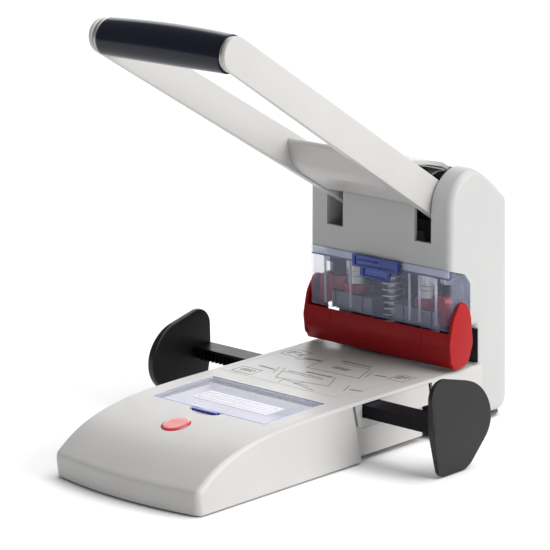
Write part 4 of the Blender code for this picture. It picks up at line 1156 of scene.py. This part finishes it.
def build_compartment():
    """Lid with its tab, card and print, and the button."""
    piece("fine_lid", compartment_lid(), LID_CLEAR, "lid", ["compartment_lid"], 0.3, 2)
    piece("lid_edge_glow", lid_rim(), CLEAR_EDGE, "lid")
    piece("fine_lid_tab", lid_tab(), BLUE, "lid", ["lid_tab"])
    edge, rules = card_print()
    piece("card_border", edge, INK_GREY, "lid")
    piece("card_rules", rules, INK_GREY, "lid")
    piece("fine_button", release_button(), BUTTON_RED, "button", ["release_button"])


def build_guides():
    """Sliding paper guides, the left one the right one turned half round about the pinion."""
    for side in ("right", "left"):
        turn = half_turn if side == "left" else same
        guide = f"{side}_guide"
        piece(f"fine_bar_{side}", turn(rack_bar()), BLACK, guide, [f"rack_bar_{side}"], 0.3, 2)
        paddle = f"stop_paddle_{side}"
        piece(f"fine_paddle_{side}", turn(stop_paddle()), PADDLE_BLACK, guide, [paddle], 0.4, 2)


KEPT = {
    # painted shadow: the plate shows in the gap under the side blocks
    SHADOW_DARK_PLATE: ("base_plate",),
    RUBBER: ("foot_front_left", "foot_front_right", "foot_rear_left", "foot_rear_right"),
    GEAR_GREY: ("button_post", "rack_channel", "yoke", "chip_tray"),
    STEEL: ("pinion_stud", "frame_plate_right", "frame_plate_left", "axle", "guide_post", "die_block",
            "die_plate", "drive_link_right", "drive_link_left"),
    BRIGHT: ("axle_clip_right", "axle_clip_left"),
    # painted shade: the back plate and the hub sit in dark hollows
    SHADE_DARK_GREY: ("inner_backplate", "handle_hub"),
    SHADED_HEAD_GREY: ("top_cover",),
    TRAY_WHITE: ("compartment_tray",),
    PALE: ("pinion",),
    CARD: ("label_card",),
    CLEAR: ("flap_buffer_right", "flap_buffer_left"),
}


def dress_kept_nodes():
    """Give every CAD node that stays its finished material."""
    for made_of, nodes in KEPT.items():
        for node in nodes:
            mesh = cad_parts[node].data
            if not mesh.materials:
                mesh.materials.append(made_of)
            for index in range(len(mesh.materials)):
                mesh.materials[index] = made_of


# ---------------------------------------------------------------- studio

def studio():
    """Pale floor, soft lights and an even sky."""
    mesh = bpy.data.meshes.new("studio_floor")
    size = 14.0
    bm = bmesh.new()
    bmesh.ops.create_grid(bm, x_segments=2, y_segments=2, size=size)
    bm.to_mesh(mesh)
    bm.free()
    mesh.materials.append(FLOOR)
    floor = bpy.data.objects.new("studio_floor", mesh)
    bpy.context.scene.collection.objects.link(floor)
    world = bpy.data.worlds.new("studio")
    world.use_nodes = True
    background = world.node_tree.nodes["Background"]
    background.inputs["Color"].default_value = (0.97, 0.98, 1.0, 1.0)
    background.inputs["Strength"].default_value = 0.3
    bpy.context.scene.world = world
    for name, towards, strength, spread_angle, colour in (
            ("overhead", (0.2, 0.25, 0.94), 2.3, 50.0, (1.0, 1.0, 1.0)),
            ("right_side", (0.88, 0.34, 0.34), 2.3, 40.0, (1.0, 0.99, 0.98)),
            ("back_rim", (-0.62, 0.68, 0.38), 0.7, 40.0, (1.0, 1.0, 1.0))):
        data = bpy.data.lights.new(name, "SUN")
        data.energy = strength
        data.angle = math.radians(spread_angle)
        data.color = colour
        lamp = bpy.data.objects.new(name, data)
        lamp.rotation_euler = Vector(towards).to_track_quat("Z", "Y").to_euler()
        bpy.context.scene.collection.objects.link(lamp)
    bpy.context.scene.view_settings.view_transform = "Standard"


def camera():
    """View from the front right, a little above, through a long lens."""
    azimuth, elevation, roll = math.radians(44.145), math.radians(13.876), math.radians(-1.059)
    forward = Vector((-math.sin(azimuth) * math.cos(elevation), math.cos(azimuth) * math.cos(elevation),
                      -math.sin(elevation)))
    level = Vector((math.cos(azimuth), math.sin(azimuth), 0.0))
    above = level.cross(forward)
    right = level * math.cos(roll) + above * math.sin(roll)
    up = above * math.cos(roll) - level * math.sin(roll)
    data = bpy.data.cameras.new("camera")
    data.lens = 201.88
    data.sensor_width = 36.0
    data.clip_end = 60.0
    made = bpy.data.objects.new("camera", data)
    turn = Matrix((right, up, -forward)).transposed().to_4x4()
    made.matrix_world = Matrix.Translation((1.67447, -1.84693 + HEAD_Y * MM, 0.73906)) @ turn
    bpy.context.scene.collection.objects.link(made)
    bpy.context.scene.camera = made


camera()
studio()
build_base()
build_handle()
build_gear()
build_window()
build_compartment()
build_guides()
dress_kept_nodes()
bpy.context.view_layer.update()
